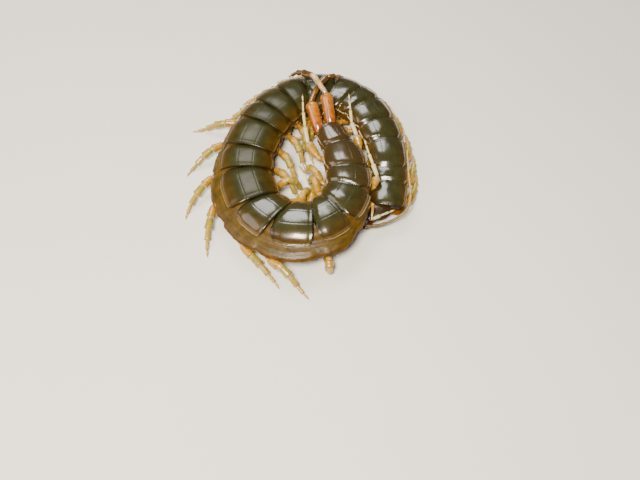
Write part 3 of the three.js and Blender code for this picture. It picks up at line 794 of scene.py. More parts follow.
def claw_cuticle_and_hole_shade():
    """Dark tanned chitin of the leg claws and of their spurs, and painted shade in the breathing holes."""
    material, tree = new_material("dark_claw_cuticle_and_hole_shade", IOR=1.56)
    outwards = [(0, linear("A07A3C")), (0.5, linear("4A2A10")), (1, linear("140A06"))]
    base = add(tree, "ValToRGB", {"Fac": pattern(tree, "along")}, outwards)
    return surfaced(material, base, gloss=(0.2, 0.35, 0.5))


def ocellus_lens():
    """Clear domed lens over dark pigment: black glass beads."""
    material, tree = new_material(
        "dark_eye_lens", IOR=1.5, Roughness=0.08, Coat_Weight=1, Coat_Roughness=0.03
    )
    pigment = [(0.3, linear("050404")), (0.8, linear("1A120C"))]
    return surfaced(material, add(tree, "ValToRGB", {"Fac": pattern(tree, 0.3)}, pigment))


def body_at(s):
    """Half width, height and belly clearance of the body at s."""
    return along(PLATE_WIDTH, s) / 2, along(BODY_HEIGHT, s), along(BELLY_CLEARANCE, s)


def swell_at(s, side):
    return along(FLANK_SWELL, s) if side > 0 else INNER_SWELL


def flank_points(s, side, sizes):
    """Half of the soft body's section at s, from the crest down to the middle of the belly."""
    (half, height, belly), swell = body_at(s), swell_at(s, side)
    top, rim = belly + height, belly + PLATE_EDGE_HEIGHT * height
    near = hump(to_border(s), 0, 1.1)
    pleat = sizes.pleat_depth / MM * math.sin(s * 4.2 + side) * (0.35 + 0.65 * hump(to_border(s), 0, 2))
    points = []
    for x in (0, 0.3, 0.55, 0.75, 0.9):
        gap = smoothstep(border_turn(s) * x * half * side - 0.5)
        inset = lerp(1.05, 0.42, gap) + 0.25 * (x == 0.9)
        points.append((x * (half - 0.25), rim + (top - rim) * crown(x) - inset))
    for wide, swollen, narrowed, pleated, high, raised, more in FLANK_PROFILE:
        across = wide * half + swollen * swell - narrowed * near + pleated * pleat
        points.append((across, belly + high * height + raised * near + more))
    return [Vector(point) for point in points]


def hard_patches(s, down):
    """How much of a hard brown island the flank has at s, with down from 0 at the crest to 1."""
    k = segment_at(s)
    share = (s - BORDERS[k]) / PLATE_LENGTH[k]
    found = 0
    for place, level, width, height in FLANK_PATCHES:
        off = math.hypot((share - place) / width, (down - level) / height)
        found = max(found, smoothstep((1.25 - off) / 0.35))
    return found


def creases(s, down):
    """How deep in a crease of the flank a place lies, from 0 to 1."""
    level = down + 0.008 * math.sin(s * 1.1) + 0.004 * math.sin(s * 2.9)
    flank = smoothstep((down - 0.445) / 0.02) * smoothstep((0.9 - down) / 0.04)
    lengthwise = max(hump(level, crease, 0.009) for crease in FLANK_CREASES)
    border = hump(to_border(s), 0, 0.3)
    folds = hump(math.sin(s * 2.1 + 2 * math.sin(down * 9)), 1, 0.25) * 0.5
    return flank * max(lengthwise, border, folds * (1 - hump(to_border(s), 0, 1)))


class CENTIPEDE_OT_soft_body(bpy.types.Operator):
    """One soft skin under the plates, from the neck to the tail"""

    bl_idname = "centipede.soft_body"
    bl_label = "Soft body"

    def execute(self, context):
        sizes = context.scene.centipede_sizes
        per_segment, per_step = 20, 7
        stations = [GAP]
        for k in range(SEGMENTS):
            for i in range(per_segment):
                stations.append(BORDERS[k] + PLATE_LENGTH[k] * (i + 0.5) / per_segment)
        stations.append(TRUNK_LENGTH - GAP)
        bm = new_bmesh()
        rings = []
        for s in stations:
            origin, _, left = trunk_frame(s)
            ring = []
            for side, _ in SIDES:
                half = smooth_through(flank_points(s, side, sizes), per_step)
                half = half[:-1] if side > 0 else half[:0:-1]
                ring += [origin + side * p.x * left + p.y * UP for p in half]
            rings.append(ring)
        columns = len(rings[0])
        grid = new_grid(bm, columns, len(rings) - 1)
        for vert, column, row in grid:
            s, column = stations[row], column % columns
            down = 1 - abs(column / columns * 2 - 1)
            hard, crease = hard_patches(s, down), creases(s, down)
            vert.co = rings[row][column]
            outward = vert.co - trunk_frame(s)[0] - UP * vert.co.z
            if outward.length > 1e-3:
                crumple = noise.noise(Vector((s * 1.6, down * 40, column > columns / 2)))
                lift = FLANK_RELIEF["crumple"] * crumple * smoothstep((down - 0.44) / 0.04)
                lift += FLANK_RELIEF["island"] * hard - FLANK_RELIEF["crease"] * crease
                vert.co += outward.normalized() * lift
            # On the flank the along mark holds the crease's depth, which the material darkens as painted
            # shade.
            mark(bm, vert, across=down, along=crease, tail=s / TRUNK_LENGTH, hard=0.5 * hard)
        sealed(bm, [vert for vert, _, _ in grid])
        material = arthrodial_membrane(context.scene.centipede_colours)
        finished("soft_body", bm, material, TRUNK_NODES)
        return {"FINISHED"}


def plate_point(k, v, x, sizes):
    """Point on top of back plate k: v from 0 at its front to 1, x from -1 at its right edge to 1."""
    length, wide = PLATE_LENGTH[k], abs(x)
    front = -length / 2 * (1 - FRONT_ROUND * wide**7)
    rear = length / 2 * (1 - REAR_ROUND * wide**9) + PLATE_OVERLAP
    if k == SEGMENTS - 1:
        rear = length / 2 * (1 - HIND_PLATE["round"] * wide**2.2) + HIND_PLATE["overlap"]
    ahead = lerp(front, rear, v)
    middle = (BORDERS[k] + BORDERS[k + 1]) / 2
    s = min(max(middle + ahead, 0), TRUNK_LENGTH)
    bend = math.radians(BEND_DEG[k])
    centre = step_along(PLACES[k], length / 2, length, bend)
    origin, _, left = sides_of(step_along(centre, ahead, length, bend * (1 - PLATE_STRAIGHTNESS)))
    half, height, belly = body_at(s)
    half *= (
        1 - PLATE_WAIST["front"] * (1 - smoothstep(v / 0.3))
        - PLATE_WAIST["rear"] * smoothstep((v - 0.85) / 0.15)
    )
    rim = belly + PLATE_EDGE_HEIGHT * height
    across = x * half + math.copysign(0.12 * smoothstep((wide - BRIM) / 0.045), x)
    up = rim + (belly + height - rim) * crown(wide)
    cover = PLATE_OVERLAP + 0.15 - border_turn(BORDERS[k] + 0.01) * across
    from_front = ahead - front
    tuck = PLATE_TUCK * (1 - smoothstep((from_front - cover + 0.1) / 1.3))
    if k == 0:
        tuck = FIRST_TUCK * (1 - smoothstep(from_front / 1.2))
    lift = -tuck
    lift += sizes.doming / MM * (1 - ((v - 0.55) / 0.55) ** 2) * (1 - wide**3) * min(length / 9, 1.15)
    lift += sizes.rim_height / MM * ridges(wide, SIDE_BEAD) * (0.35 + 0.65 * RIM_PALENESS[k])
    lift += ridges(v, REAR_LIP) - REAR_DROP * smoothstep((v - 0.97) / 0.03)
    if k >= FIRST_GROOVED_PLATE:
        lift -= sizes.suture_depth / MM * hump(wide, SUTURE, 0.016) * smoothstep((v - 0.1) / 0.1)
        lift += ridges(v, FRONT_GROOVE)
    spot = (origin + across * left) * 0.28 + Vector((k * 3.1, 0, 0))
    dents = noise.noise(spot) + 0.5 * smoothstep((7 - k) / 2) * noise.noise(spot * 2.3)
    lift += sizes.unevenness / MM * dents * (1 - wide**4)
    tilt = math.asin(min(wide, 1)) * 0.8
    normal = math.copysign(math.sin(tilt), x) * left + math.cos(tilt) * UP
    return origin + across * left + up * UP + lift * normal


class CENTIPEDE_OT_spiracles(bpy.types.Operator):
    """The breathing holes of the flank: a pale ring round a slit darkened with painted shade"""

    bl_idname = "centipede.spiracles"
    bl_label = "Spiracles"

    def execute(self, context):
        sizes = context.scene.centipede_sizes
        bm = new_bmesh()
        sides = SPIRACLE["sides"]
        for k in SPIRACLE_SEGMENTS:
            for side, _ in SIDES:
                s = BORDERS[k] + SPIRACLE["along"] * PLATE_LENGTH[k]
                origin, back, left = trunk_frame(s)
                above, below = flank_points(s, side, sizes)[6:8]
                spot = above.lerp(below, SPIRACLE["level"])
                out = side * left
                down = ((below.x - above.x) * out + (below.y - above.y) * UP).normalized()
                face = down.cross(back).normalized() * side
                centre = origin + spot.x * out + spot.y * UP + face * SPIRACLE["stand"]
                axes = (back * SPIRACLE["length"], down * SPIRACLE["height"], face)
                turn = Matrix(axes).transposed().to_4x4()
                turn.translation = centre
                ring = bmesh.ops.create_cone(
                    bm, cap_ends=True, segments=sides, radius1=1, radius2=1, depth=0.4, matrix=turn
                )["verts"]
                caps = {cap for vert in ring for cap in vert.link_faces if len(cap.verts) == sides}
                top = max(caps, key=lambda cap: (cap.calc_center_median() - centre).dot(face))
                # Each step sinks the hole further and marks how dark it is: painted shade within the hole.
                for inset, lift, shade in SPIRACLE_RIM:
                    bmesh.ops.inset_region(bm, faces=[top], thickness=inset, depth=lift)
                    for vert in top.verts:
                        mark(bm, vert, along=shade)
        finished("spiracles", bm, claw_cuticle_and_hole_shade(), TRUNK_NODES)
        return {"FINISHED"}


class CENTIPEDE_OT_back_plates(bpy.types.Operator):
    """The 21 back plates, each overlapping the next like a roof tile"""

    bl_idname = "centipede.back_plates"
    bl_label = "Back plates"

    def execute(self, context):
        sizes = context.scene.centipede_sizes
        material = sclerite_cuticle(context.scene.centipede_colours)
        lines = [-x for x in PLATE_COLUMNS[:0:-1]] + list(PLATE_COLUMNS)
        for k in range(SEGMENTS):
            bm = new_bmesh()
            grid = new_grid(bm, len(lines) - 1, len(PLATE_ROWS) - 1)
            for vert, column, row in grid:
                x, v = lines[column], PLATE_ROWS[row]
                vert.co = plate_point(k, v, x, sizes)
                edge = RIM_PALENESS[k] * smoothstep((abs(x) - 0.965) / 0.015) * smoothstep(v / 0.08)
                mark(bm, vert, across=x, along=v, tail=k / (SEGMENTS - 1), hard=edge)
            thickened(bm, grid, True, sizes.plate_thickness / MM)
            finished(f"back_plate_{k + 1:02d}", bm, material, TRUNK_NODES)
        return {"FINISHED"}


class CENTIPEDE_OT_belly_plates(bpy.types.Operator):
    """The belly plates, with two grooves along each"""

    bl_idname = "centipede.belly_plates"
    bl_label = "Belly plates"

    def execute(self, context):
        sizes = context.scene.centipede_sizes
        columns, rows = 32, 12
        bm = new_bmesh()
        for k in range(SEGMENTS):
            grid = new_grid(bm, columns, rows)
            for vert, column, row in grid:
                x, v = column / columns * 2 - 1, row / rows
                ahead = (v - 0.5) * PLATE_LENGTH[k] * (0.92 - 0.18 * abs(x) ** 5)
                s = (BORDERS[k] + BORDERS[k + 1]) / 2 + ahead
                origin, _, left = trunk_frame(s)
                half, _, belly = body_at(s)
                up = belly - 0.02 + BELLY_UPTURN * abs(x) ** 3
                up += ridges(abs(x), BELLY_RIDGE) + ridges(v, BELLY_FRONT)
                vert.co = origin + x * BELLY_WIDTH * half * left + up * UP
                mark(bm, vert, across=x, along=v, tail=k / (SEGMENTS - 1))
            thickened(bm, grid, False, sizes.plate_thickness / MM)
        material = belly_cuticle(context.scene.centipede_colours)
        finished("belly_plates", bm, material, TRUNK_NODES)
        return {"FINISHED"}


def cross(first, second):
    """Whether the rings of two stations cut each other."""
    step, tilt = second.point - first.point, math.sin(first.way.angle(second.way))
    return (
        step.dot(first.way) < second.radius * tilt + STATION_GAP
        or step.dot(second.way) < first.radius * tilt + STATION_GAP
    )


def uncrossed(stations):
    """Leaves out each station whose ring would cut another: those at the joints come first."""
    kept = [stations[0]]
    for station in stations[1:]:
        if station.place % 1 == 0:
            while len(kept) > 1 and cross(kept[-1], station):
                kept.pop()
            kept.append(station)
        elif not cross(kept[-1], station):
            kept.append(station)
    return kept


def limb(bm, stations, sides, tail=0, hard=0, flatness=1):
    """A limb's closed skin: rings, each turned on from the one before, and flattened on the floor."""
    way_before = stations[0].way
    across = way_before.cross(UP).normalized()
    rings = []
    for station in stations:
        across = way_before.rotation_difference(station.way) @ across
        way_before = station.way
        over = across.cross(way_before).normalized() * flatness
        ring = []
        for j in range(sides):
            turn = j / sides * 2 * math.pi
            p = station.point + station.radius * (across * math.sin(turn) + over * math.cos(turn))
            ring.append(Vector((p.x, p.y, max(0, p.z))))
        rings.append(ring)
    lofted(bm, rings, [station.place for station in stations], tail, hard)


def joint_space(least, radius, turn, length):
    """Space that a soft joint takes off an article, which a bend makes longer."""
    bend_space = radius * math.tan(turn / 2) + SOFT_JOINT["room"]
    return min(max(least, bend_space), SOFT_JOINT["most"] * length)


def jointed_stations(joints, articles, first_way):
    """Stations of a jointed limb, whose places are counted in articles.

    The limb starts off in its first way. Each article swells and ends in a collar, with a narrow
    soft joint before the next. A joint that bends far is rounded.
    """
    ways = [(b - a).normalized() for a, b in zip(joints, joints[1:])]
    stations = [Station(joints[0], first_way, articles[0][1], 0)]
    for k, (_, start, end) in enumerate(articles):
        length = (joints[k + 1] - joints[k]).length
        turn_before = ways[k].angle(ways[k - 1]) if k else 0
        turn_after = ways[k].angle(ways[k + 1]) if k + 1 < len(articles) else 0
        near = joint_space(SOFT_JOINT["after"], start, turn_before, length) if k else ROOT_SPACE
        far = joint_space(SOFT_JOINT["before"], end, turn_after, length)
        if k:
            narrow = SOFT_JOINT["width"] * min(start, articles[k - 1][2])
            bow = turn_before > KNEE_TURN
            before, after = joints[k] - ways[k - 1] * far_before, joints[k] + ways[k] * near
            for t in ROUND_KNEE if bow else (0.5,):
                round_knee = before.lerp(joints[k], t).lerp(joints[k].lerp(after, t), t)
                way = ways[k - 1].slerp(ways[k], t)
                stations.append(Station(round_knee if bow else joints[k], way, narrow, k))
        far_before = far
        for share, swell in ARTICLE_PROFILE:
            point = joints[k] + ways[k] * lerp(near, length - far, share)
            radius = lerp(start, end, share) * swell
            stations.append(Station(point, ways[k], radius, k + lerp(*ARTICLE_MARKS, share)))
    return uncrossed(stations)


def coxa_of(index, side):
    """Where a walking leg leaves the body.

    That is the point on the skin, the hip joint's way, the body's way out and its way back there,
    and the end of the hip joint.
    """
    pose = (LEFT_POSE if side > 0 else RIGHT_POSE)[index]
    s = BORDERS[index] + pose[0] * PLATE_LENGTH[index]
    origin, back, left = trunk_frame(s)
    out = left * side
    (half, height, belly), swell = body_at(s), swell_at(s, side)
    below, above = FLANK_PROFILE[3], FLANK_PROFILE[2]
    share = (COXA["height"] - below[4]) / (above[4] - below[4])
    reach = lerp(*(point[0] * half + point[1] * swell for point in (below, above)), share)
    pitch = math.radians(COXA["pitch_deg"])
    way = (out * math.cos(pitch) + back * 0.15 + UP * math.sin(pitch)).normalized()
    skin = origin + out * reach + UP * (belly + COXA["height"] * height)
    return skin, way, out, back, skin + way * COXA["stand"]


def walking_joints(index, side):
    """Joints of a leg that stands on the floor: its fall is bisected until the claw meets it."""
    _, way, out, back, end = coxa_of(index, side)
    _, sweep, curl, lift = (LEFT_POSE if side > 0 else RIGHT_POSE)[index]
    total = FIRST_LEG_LENGTH + LEG_LENGTH_STEP * index

    def way_of(k, drop):
        turn, pitch = math.radians(sweep + curl * k / 5), math.radians(lift - drop * LEG_FALL[k])
        flat = (out * math.cos(turn) + back * math.sin(turn)).normalized()
        return flat * math.cos(pitch) + UP * math.sin(pitch)

    def joints_for(drop):
        joints = [end, end + way * GAP + (way + way_of(0, 0)).normalized() * ARTICLES[0][0] * total]
        for k, (share, _, _) in enumerate(ARTICLES[1:]):
            joints.append(joints[-1] + way_of(k, drop) * share * total)
        return joints

    low, high = LEG_FALL_DEG
    for _ in range(LEG_FALL_HALVINGS):
        drop = (low + high) / 2
        if joints_for(drop)[-1].z > 0:
            low = drop
        else:
            high = drop
    return joints_for(low)


def lengths_of(line):
    """Length of a line from its start to each of its points."""
    return [0, *accumulate((b - a).length for a, b in zip(line, line[1:]))]


def point_along(line, lengths, distance):
    i = next((i for i in range(1, len(line)) if lengths[i] >= distance), len(line) - 1)
    return line[i - 1].lerp(line[i], (distance - lengths[i - 1]) / (lengths[i] - lengths[i - 1]))


def joints_along(points, articles):
    """Joints of a limb laid along a route: each article takes its share of the way."""
    lengths = lengths_of(points)
    joints, walked = [points[0]], 0
    for share, _, _ in articles:
        walked = min(walked + share * lengths[-1], lengths[-1] - 1e-6)
        joints.append(point_along(points, lengths, walked))
    return joints


def leg_joints(index, side):
    name = f"leg_{index + 1:02d}_{'left' if side > 0 else 'right'}"
    if name not in LEG_ROUTES:
        return walking_joints(index, side)
    end = coxa_of(index, side)[-1]
    return joints_along([end, *(Vector(p) for p in LEG_ROUTES[name])], ARTICLES)


def spine(bm, root, way, length, radius, tail=0):
    """A thorn: a tapering, slightly bowed cone with its root sunk in."""
    side = way.cross(UP if abs(way.z) < 0.9 else Vector((1, 0, 0))).normalized()
    bow = side.cross(way) * -0.12 * length
    stations = []
    for i in range(5):
        t = i / 4
        point = root + way * length * t + bow * t * t
        stations.append(Station(point, way, radius * (1 - t) ** 0.8 + 0.015, 0.3 + 0.7 * t))
    limb(bm, stations, CLAW_SIDES, tail, hard=1)


def hip_joint(bm, index, side, tail):
    skin, way, *_ = coxa_of(index, side)
    stations = []
    for i, (distance, radius) in enumerate(COXA_PROFILE):
        stations.append(Station(skin + way * distance, way, radius, 0.3 + 0.1 * i))
    limb(bm, stations, COXA["sides"], tail, flatness=COXA["flatness"])


def foot_claw(bm, joints, tail):
    """The claw that a walking leg stands on."""
    foot = joints[-1] - joints[-2]
    way, (_, heel, _) = foot.normalized(), ARTICLES[-1]
    stations = []
    for share, radius in CLAW_PROFILE:
        stations.append(Station(joints[-2] + foot * share, way, heel * radius, max(share, 0)))
    limb(bm, stations, CLAW_SIDES, tail)


def shin_spurs(bm, joints, tail):
    """The two spurs under the end of a shin that is off the floor."""
    shin = (joints[5] - joints[4]).normalized()
    across = shin.cross(UP)
    under = across.cross(shin).normalized()
    root = joints[5] - shin * SPUR["from_joint"] + under * SPUR["below"]
    for lean in (SPUR["lean"], -SPUR["lean"]):
        way = (shin + under * 0.5 + across.normalized() * lean).normalized()
        if root.z > SPUR["length"]:
            spine(bm, root, way, SPUR["length"], SPUR["radius"], tail)


class CENTIPEDE_OT_walking_legs(bpy.types.Operator):
    """Forty walking legs with their hip joints, claws and spurs"""

    bl_idname = "centipede.walking_legs"
    bl_label = "Walking legs"

    def execute(self, context):
        material = leg_cuticle(context.scene.centipede_colours)
        claws, coxae = new_bmesh(), new_bmesh()
        for index in range(SEGMENTS - 1):
            for side, word in SIDES:
                name, tail = f"{index + 1:02d}_{word}", index / (SEGMENTS - 1)
                pale = name in PALE_LEGS
                stoutness = PALE_STOUTNESS if pale else LEG_STOUTNESS
                articles = [(share, a * k, b * k) for (share, a, b), k in zip(ARTICLES, stoutness)]
                _, way, *_ = coxa_of(index, side)
                joints = leg_joints(index, side)
                bm = new_bmesh()
                limb(bm, jointed_stations(joints[:-1], articles, way), LEG_SIDES, tail, float(pale))
                finished(f"walking_leg_{name}", bm, material, [f"leg_{name}"])
                hip_joint(coxae, index, side, tail)
                foot_claw(claws, joints, tail)
                shin_spurs(claws, joints, tail)
        finished("leg_claws", claws, claw_cuticle_and_hole_shade(), [])
        finished("coxae", coxae, material, TRUNK_NODES)
        return {"FINISHED"}


class CENTIPEDE_OT_hindmost_legs(bpy.types.Operator):
    """The two thick hindmost legs, with the thorns of their thighs"""

    bl_idname = "centipede.hindmost_legs"
    bl_label = "Hindmost legs"

    def execute(self, context):
        material = terminal_cuticle(context.scene.centipede_colours)
        origin, back, left = trunk_frame(TRUNK_LENGTH)
        for side, word in SIDES:
            root = origin + left * side * TERMINAL_ROOT["across"] - back * TERMINAL_ROOT["ahead"]
            route = [root + UP * TERMINAL_ROOT["height"], *(Vector(p) for p in TERMINAL_ROUTES[word])]
            joints = joints_along(route, TERMINAL_ARTICLES)
            bm = new_bmesh()
            stations = jointed_stations(joints, TERMINAL_ARTICLES, back)
            limb(bm, stations, TERMINAL_SIDES, tail=float(side > 0))
            thigh = (joints[2] - joints[1]).normalized()
            across = thigh.cross(UP).normalized()
            over = across.cross(thigh).normalized()
            inward = across * -side
            for row in range(THORN_ROWS):
                turn = math.radians(-20 + 45 * row)
                outward = inward * math.cos(turn) - over * math.sin(turn)
                way = (outward + thigh * 0.9).normalized()
                for i in range(2 + row % 2):
                    root = joints[1].lerp(joints[2], 0.4 + 0.24 * i + 0.08 * row)
                    root += outward * THORN["from_middle"]
                    spine(bm, root, way, THORN["length"], THORN["radius"], 1)
            corner = (over * 0.8 + inward * 0.6).normalized() * CORNER_THORN["from_middle"]
            way = (thigh + over * 0.4 + inward * 0.3).normalized()
            root = joints[2] - thigh * 0.5 + corner
            spine(bm, root, way, CORNER_THORN["length"], CORNER_THORN["radius"], 1)
            finished(f"hindmost_leg_{word}", bm, material, [f"terminal_leg_{word}"])
        return {"FINISHED"}


def from_head(out, forward, up):
    """From the head's own measures, out to its left, forward and up, to the plan's."""
    heading = math.radians(HEAD["heading_deg"])
    ahead = Vector((math.cos(heading), math.sin(heading), 0))
    left = Vector((-ahead.y, ahead.x, 0))
    return Vector((HEAD["x"], HEAD["y"], up)) + ahead * forward + left * out


HEAD_HALF_WIDTHS = smooth_through(HEAD_OUTLINE, HEAD_STEPS)
HEAD_TOPS = smooth_through(HEAD_TOP, HEAD_STEPS)


def head_skin(place, angle, lift=0):
    """Point of the head's skin: place is counted along its outline, angle from the crest."""
    half = HEAD["half_width"] * between(HEAD_HALF_WIDTHS, place * HEAD_STEPS) + lift
    top = between(HEAD_TOPS, place * HEAD_STEPS)
    forward = HEAD["length"] * (place - 0.35) / (len(HEAD_OUTLINE) - 1.35)
    rim = lerp(HEAD_UNDERSIDE, top, 0.55)
    up = math.cos(angle)
    rise = (top - rim if up > 0 else rim - HEAD_UNDERSIDE) + lift
    return from_head(half * math.sin(angle), forward, rim + math.copysign(abs(up) ** 0.85, up) * rise)


class CENTIPEDE_OT_head(bpy.types.Operator):
    """Head capsule, the plate on it, and four simple eyes on each side"""

    bl_idname = "centipede.head"
    bl_label = "Head"

    def execute(self, context):
        material = head_cuticle(context.scene.centipede_colours)
        columns, rows = 48, 28
        last, sunk = len(HEAD_OUTLINE) - 1, HEAD_PLATE["over_capsule"]
        bm = new_bmesh()
        rings = []
        for row in range(rows + 1):
            place = last * row / rows
            rings.append([head_skin(place, -j / columns * 2 * math.pi, -sunk) for j in range(columns)])
        lofted(bm, rings, [row / rows for row in range(rows + 1)])
        finished("head_capsule", bm, material, ["head"])

        bm = new_bmesh()
        columns, rows = 56, 36
        grid = new_grid(bm, columns, rows)
        for vert, column, row in grid:
            x, v = column / columns * 2 - 1, row / rows
            place = lerp(HEAD_PLATE["rear"], last - HEAD_PLATE["front"], v)
            lift = ridges(abs(x), HEAD_SIDE_BEAD) + ridges(v, HEAD_REAR_BEAD)
            lift += ridges(abs(x), HEAD_GROOVE) * smoothstep((0.45 - v) / 0.2)
            vert.co = head_skin(max(place, 0), math.radians(HEAD_PLATE["half_angle_deg"]) * x, lift)
            mark(bm, vert, across=x, along=v, hard=smoothstep((abs(x) - 0.93) / 0.05))
        thickened(bm, grid, True, HEAD_PLATE["thickness"])
        finished("head_plate", bm, material, ["head"])

        bm = new_bmesh()
        for place, down_deg in EYE_SPOTS:
            for side, _ in SIDES:
                turn = Matrix.Translation(head_skin(place, side * math.radians(down_deg)))
                bmesh.ops.create_icosphere(bm, subdivisions=3, radius=EYE_RADIUS, matrix=turn)
        finished("eyes", bm, ocellus_lens(), ["head"])
        return {"FINISHED"}


class CENTIPEDE_OT_antennae(bpy.types.Operator):
    """Two beaded antennae"""

    bl_idname = "centipede.antennae"
    bl_label = "Antennae"

    def execute(self, context):
        material = antenna_cuticle(context.scene.centipede_colours)
        out, *forward_and_up = ANTENNA_ROOT
        for side, word in SIDES:
            root = from_head(side * out, *forward_and_up)
            route = [root, *(Vector(p) for p in ANTENNA_ROUTES[word])]
            line = smooth_through(route, ANTENNA_STEPS)
            lengths = lengths_of(line)
            stations = []
            for k in range(ANTENNA_ARTICLES):
                for share, swell in ANTENNA_PROFILE:
                    t = (k + share) / ANTENNA_ARTICLES
                    at = t * lengths[-1]
                    ahead = point_along(line, lengths, min(at + 0.3, lengths[-1]))
                    way = (ahead - point_along(line, lengths, max(at - 0.3, 0))).normalized()
                    radius = lerp(*ANTENNA_RADIUS, t) * swell
                    stations.append(Station(point_along(line, lengths, at), way, radius, k + share))
            tip = Station(line[-1], stations[-1].way, ANTENNA_TIP_RADIUS, ANTENNA_ARTICLES)
            bm = new_bmesh()
            limb(bm, uncrossed([*stations, tip]), ANTENNA_SIDES)
            for vert in bm.verts:
                mark(bm, vert, tail=vert[bm.verts.layers.float["along"]] / ANTENNA_ARTICLES)
            finished(f"antenna_{word}_beaded", bm, material, [f"antenna_{word}"])
        return {"FINISHED"}


class CENTIPEDE_OT_poison_claws(bpy.types.Operator):
    """The poison claws under the head and the plate that carries them"""

    bl_idname = "centipede.poison_claws"
    bl_label = "Poison claws"

    def execute(self, context):
        material = poison_claw_cuticle(context.scene.centipede_colours)
        bottom, top = POISON_BASE["bottom"], POISON_BASE["top"]
        bm = new_bmesh()
        rows, columns = 14, 40
        rings = []
        for row in range(rows + 1):
            share = row / rows
            half = between(POISON_BASE["half_width"], share * 3)
            forward = lerp(-0.6, POISON_BASE["length"], share)
            ring = []
            for j in range(columns):
                turn = -j / columns * 2 * math.pi
                across, up = math.sin(turn), math.cos(turn)
                out = half * math.copysign(abs(across) ** 0.7, across)
                notch = 0.35 * hump(out, 0, 0.35) * (up < 0)
                level = lerp(bottom, top, 0.5 + 0.5 * math.copysign(abs(up) ** 0.7, up)) + notch
                ring.append(from_head(out, forward, level))
            rings.append(ring)
        lofted(bm, rings, [0.3 * row / rows for row in range(rows + 1)])
        ahead = (from_head(0, 1, 0) - from_head(0, 0, 0)).normalized()
        for side, _ in SIDES:
            for i in range(POISON_TEETH):
                out, forward = side * (0.35 + 0.4 * i), POISON_BASE["length"] - 0.2
                root = from_head(out, forward, lerp(bottom, top, 0.45))
                spine(bm, root, ahead, 0.65 - 0.08 * i, 0.22)
        finished("poison_claw_base", bm, material, ["forcipule_base"])
        for side, word in SIDES:
            route = [from_head(side * out, forward, up) for out, forward, up in POISON_CLAW_ROUTE]
            line = smooth_through(route, POISON_CLAW_STEPS)
            stations = []
            for i, point in enumerate(line):
                t = i / (len(line) - 1)
                way = (line[min(i + 1, len(line) - 1)] - line[max(i - 1, 0)]).normalized()
                ringed = 1 - 0.1 * (hump(t, 0.36, 0.02) + hump(t, 0.46, 0.02))
                radius = between(POISON_CLAW_RADIUS, t**1.1 * 4) * ringed
                stations.append(Station(point, way, radius, t))
            bm = new_bmesh()
            limb(bm, uncrossed(stations), POISON_CLAW_SIDES)
            finished(f"poison_claw_{word}", bm, material, [f"forcipule_{word}"])
        return {"FINISHED"}


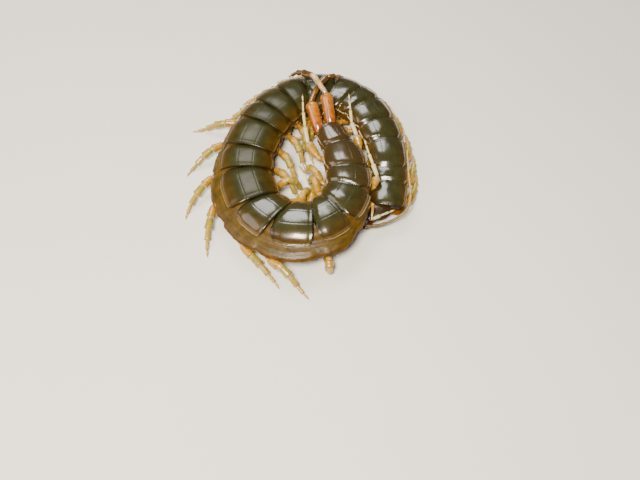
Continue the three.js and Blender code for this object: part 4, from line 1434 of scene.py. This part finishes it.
class CENTIPEDE_OT_stage(bpy.types.Operator):
    """Pale floor, soft light and the photograph's camera"""

    bl_idname = "centipede.stage"
    bl_label = "Stage"

    def execute(self, context):
        scene = context.scene
        bm = bmesh.new()
        bmesh.ops.create_grid(bm, x_segments=4, y_segments=4, size=2.5)
        mesh = bpy.data.meshes.new("floor")
        bm.to_mesh(mesh)
        bm.free()
        material, tree = new_material("pale_floor_card", Roughness=0.9)
        card = [(0, linear("D6D3CC")), (1, linear("DCD9D2"))]
        surfaced(material, add(tree, "ValToRGB", {"Fac": pattern(tree, 60)}, card))
        mesh.materials.append(material)
        floor = bpy.data.objects.new("floor", mesh)
        scene.collection.objects.link(floor)

        world = bpy.data.worlds.new("studio")
        world.use_nodes = True
        backdrop = world.node_tree.nodes["Background"]
        backdrop.inputs["Color"].default_value = (*linear("E8ECF0"), 1)
        backdrop.inputs["Strength"].default_value = 0.15
        scene.world = world

        lamps = (
            ("key", (-50, -185, 320), 0.1, 3.6, "FFF4E4"),
            ("overhead", (-70, 270, 380), 0.2, 1.8, "FFFDF8"),
            ("fill", (-330, -60, 240), 0.25, 1, "FFF4E6"),
        )
        for name, place, size, power, shade in lamps:
            light = bpy.data.lights.new(name, "AREA")
            light.size = size
            light.energy = power
            light.color = linear(shade)
            lamp = bpy.data.objects.new(name, light)
            lamp.location = Vector(place) * MM
            lamp.rotation_mode = "QUATERNION"
            lamp.rotation_quaternion = (-Vector(place)).to_track_quat("-Z", "Y")
            scene.collection.objects.link(lamp)

        camera = bpy.data.cameras.new("camera")
        camera.sensor_width = SENSOR_WIDTH_MM
        camera.lens = SENSOR_WIDTH_MM * FOCAL_LENGTH_PX / PICTURE_WIDTH_PX
        camera.clip_start = 0.01
        eye = bpy.data.objects.new("camera", camera)
        eye.location = (CAMERA_PLACE - PLAN_MIDDLE) * MM
        eye.rotation_euler = (math.radians(90 - CAMERA_PITCH_DEG), 0, 0)
        scene.collection.objects.link(eye)
        scene.camera = eye
        return {"FINISHED"}


OPERATORS = (
    CENTIPEDE_OT_stage,
    CENTIPEDE_OT_soft_body,
    CENTIPEDE_OT_spiracles,
    CENTIPEDE_OT_back_plates,
    CENTIPEDE_OT_belly_plates,
    CENTIPEDE_OT_walking_legs,
    CENTIPEDE_OT_hindmost_legs,
    CENTIPEDE_OT_head,
    CENTIPEDE_OT_antennae,
    CENTIPEDE_OT_poison_claws,
)


class CENTIPEDE_PT_panel(bpy.types.Panel):
    """Sizes, colours and pieces of the centipede"""

    bl_label = "Giant centipede"
    bl_space_type = "VIEW_3D"
    bl_region_type = "UI"
    bl_category = "Centipede"

    def draw(self, context):
        for group in (context.scene.centipede_sizes, context.scene.centipede_colours):
            for name in group.__annotations__:
                self.layout.prop(group, name)
        for operator in OPERATORS:
            self.layout.operator(operator.bl_idname)


CLASSES = (CentipedeSizes, CentipedeColours, *OPERATORS, CENTIPEDE_PT_panel)


def register():
    for cls in CLASSES:
        bpy.utils.register_class(cls)
    bpy.types.Scene.centipede_sizes = PointerProperty(type=CentipedeSizes)
    bpy.types.Scene.centipede_colours = PointerProperty(type=CentipedeColours)


def unregister():
    del bpy.types.Scene.centipede_colours
    del bpy.types.Scene.centipede_sizes
    for cls in reversed(CLASSES):
        bpy.utils.unregister_class(cls)


def main():
    register()
    for operator in OPERATORS:
        group, name = operator.bl_idname.split(".")
        getattr(getattr(bpy.ops, group), name)()


if __name__ == "__main__":
    main()
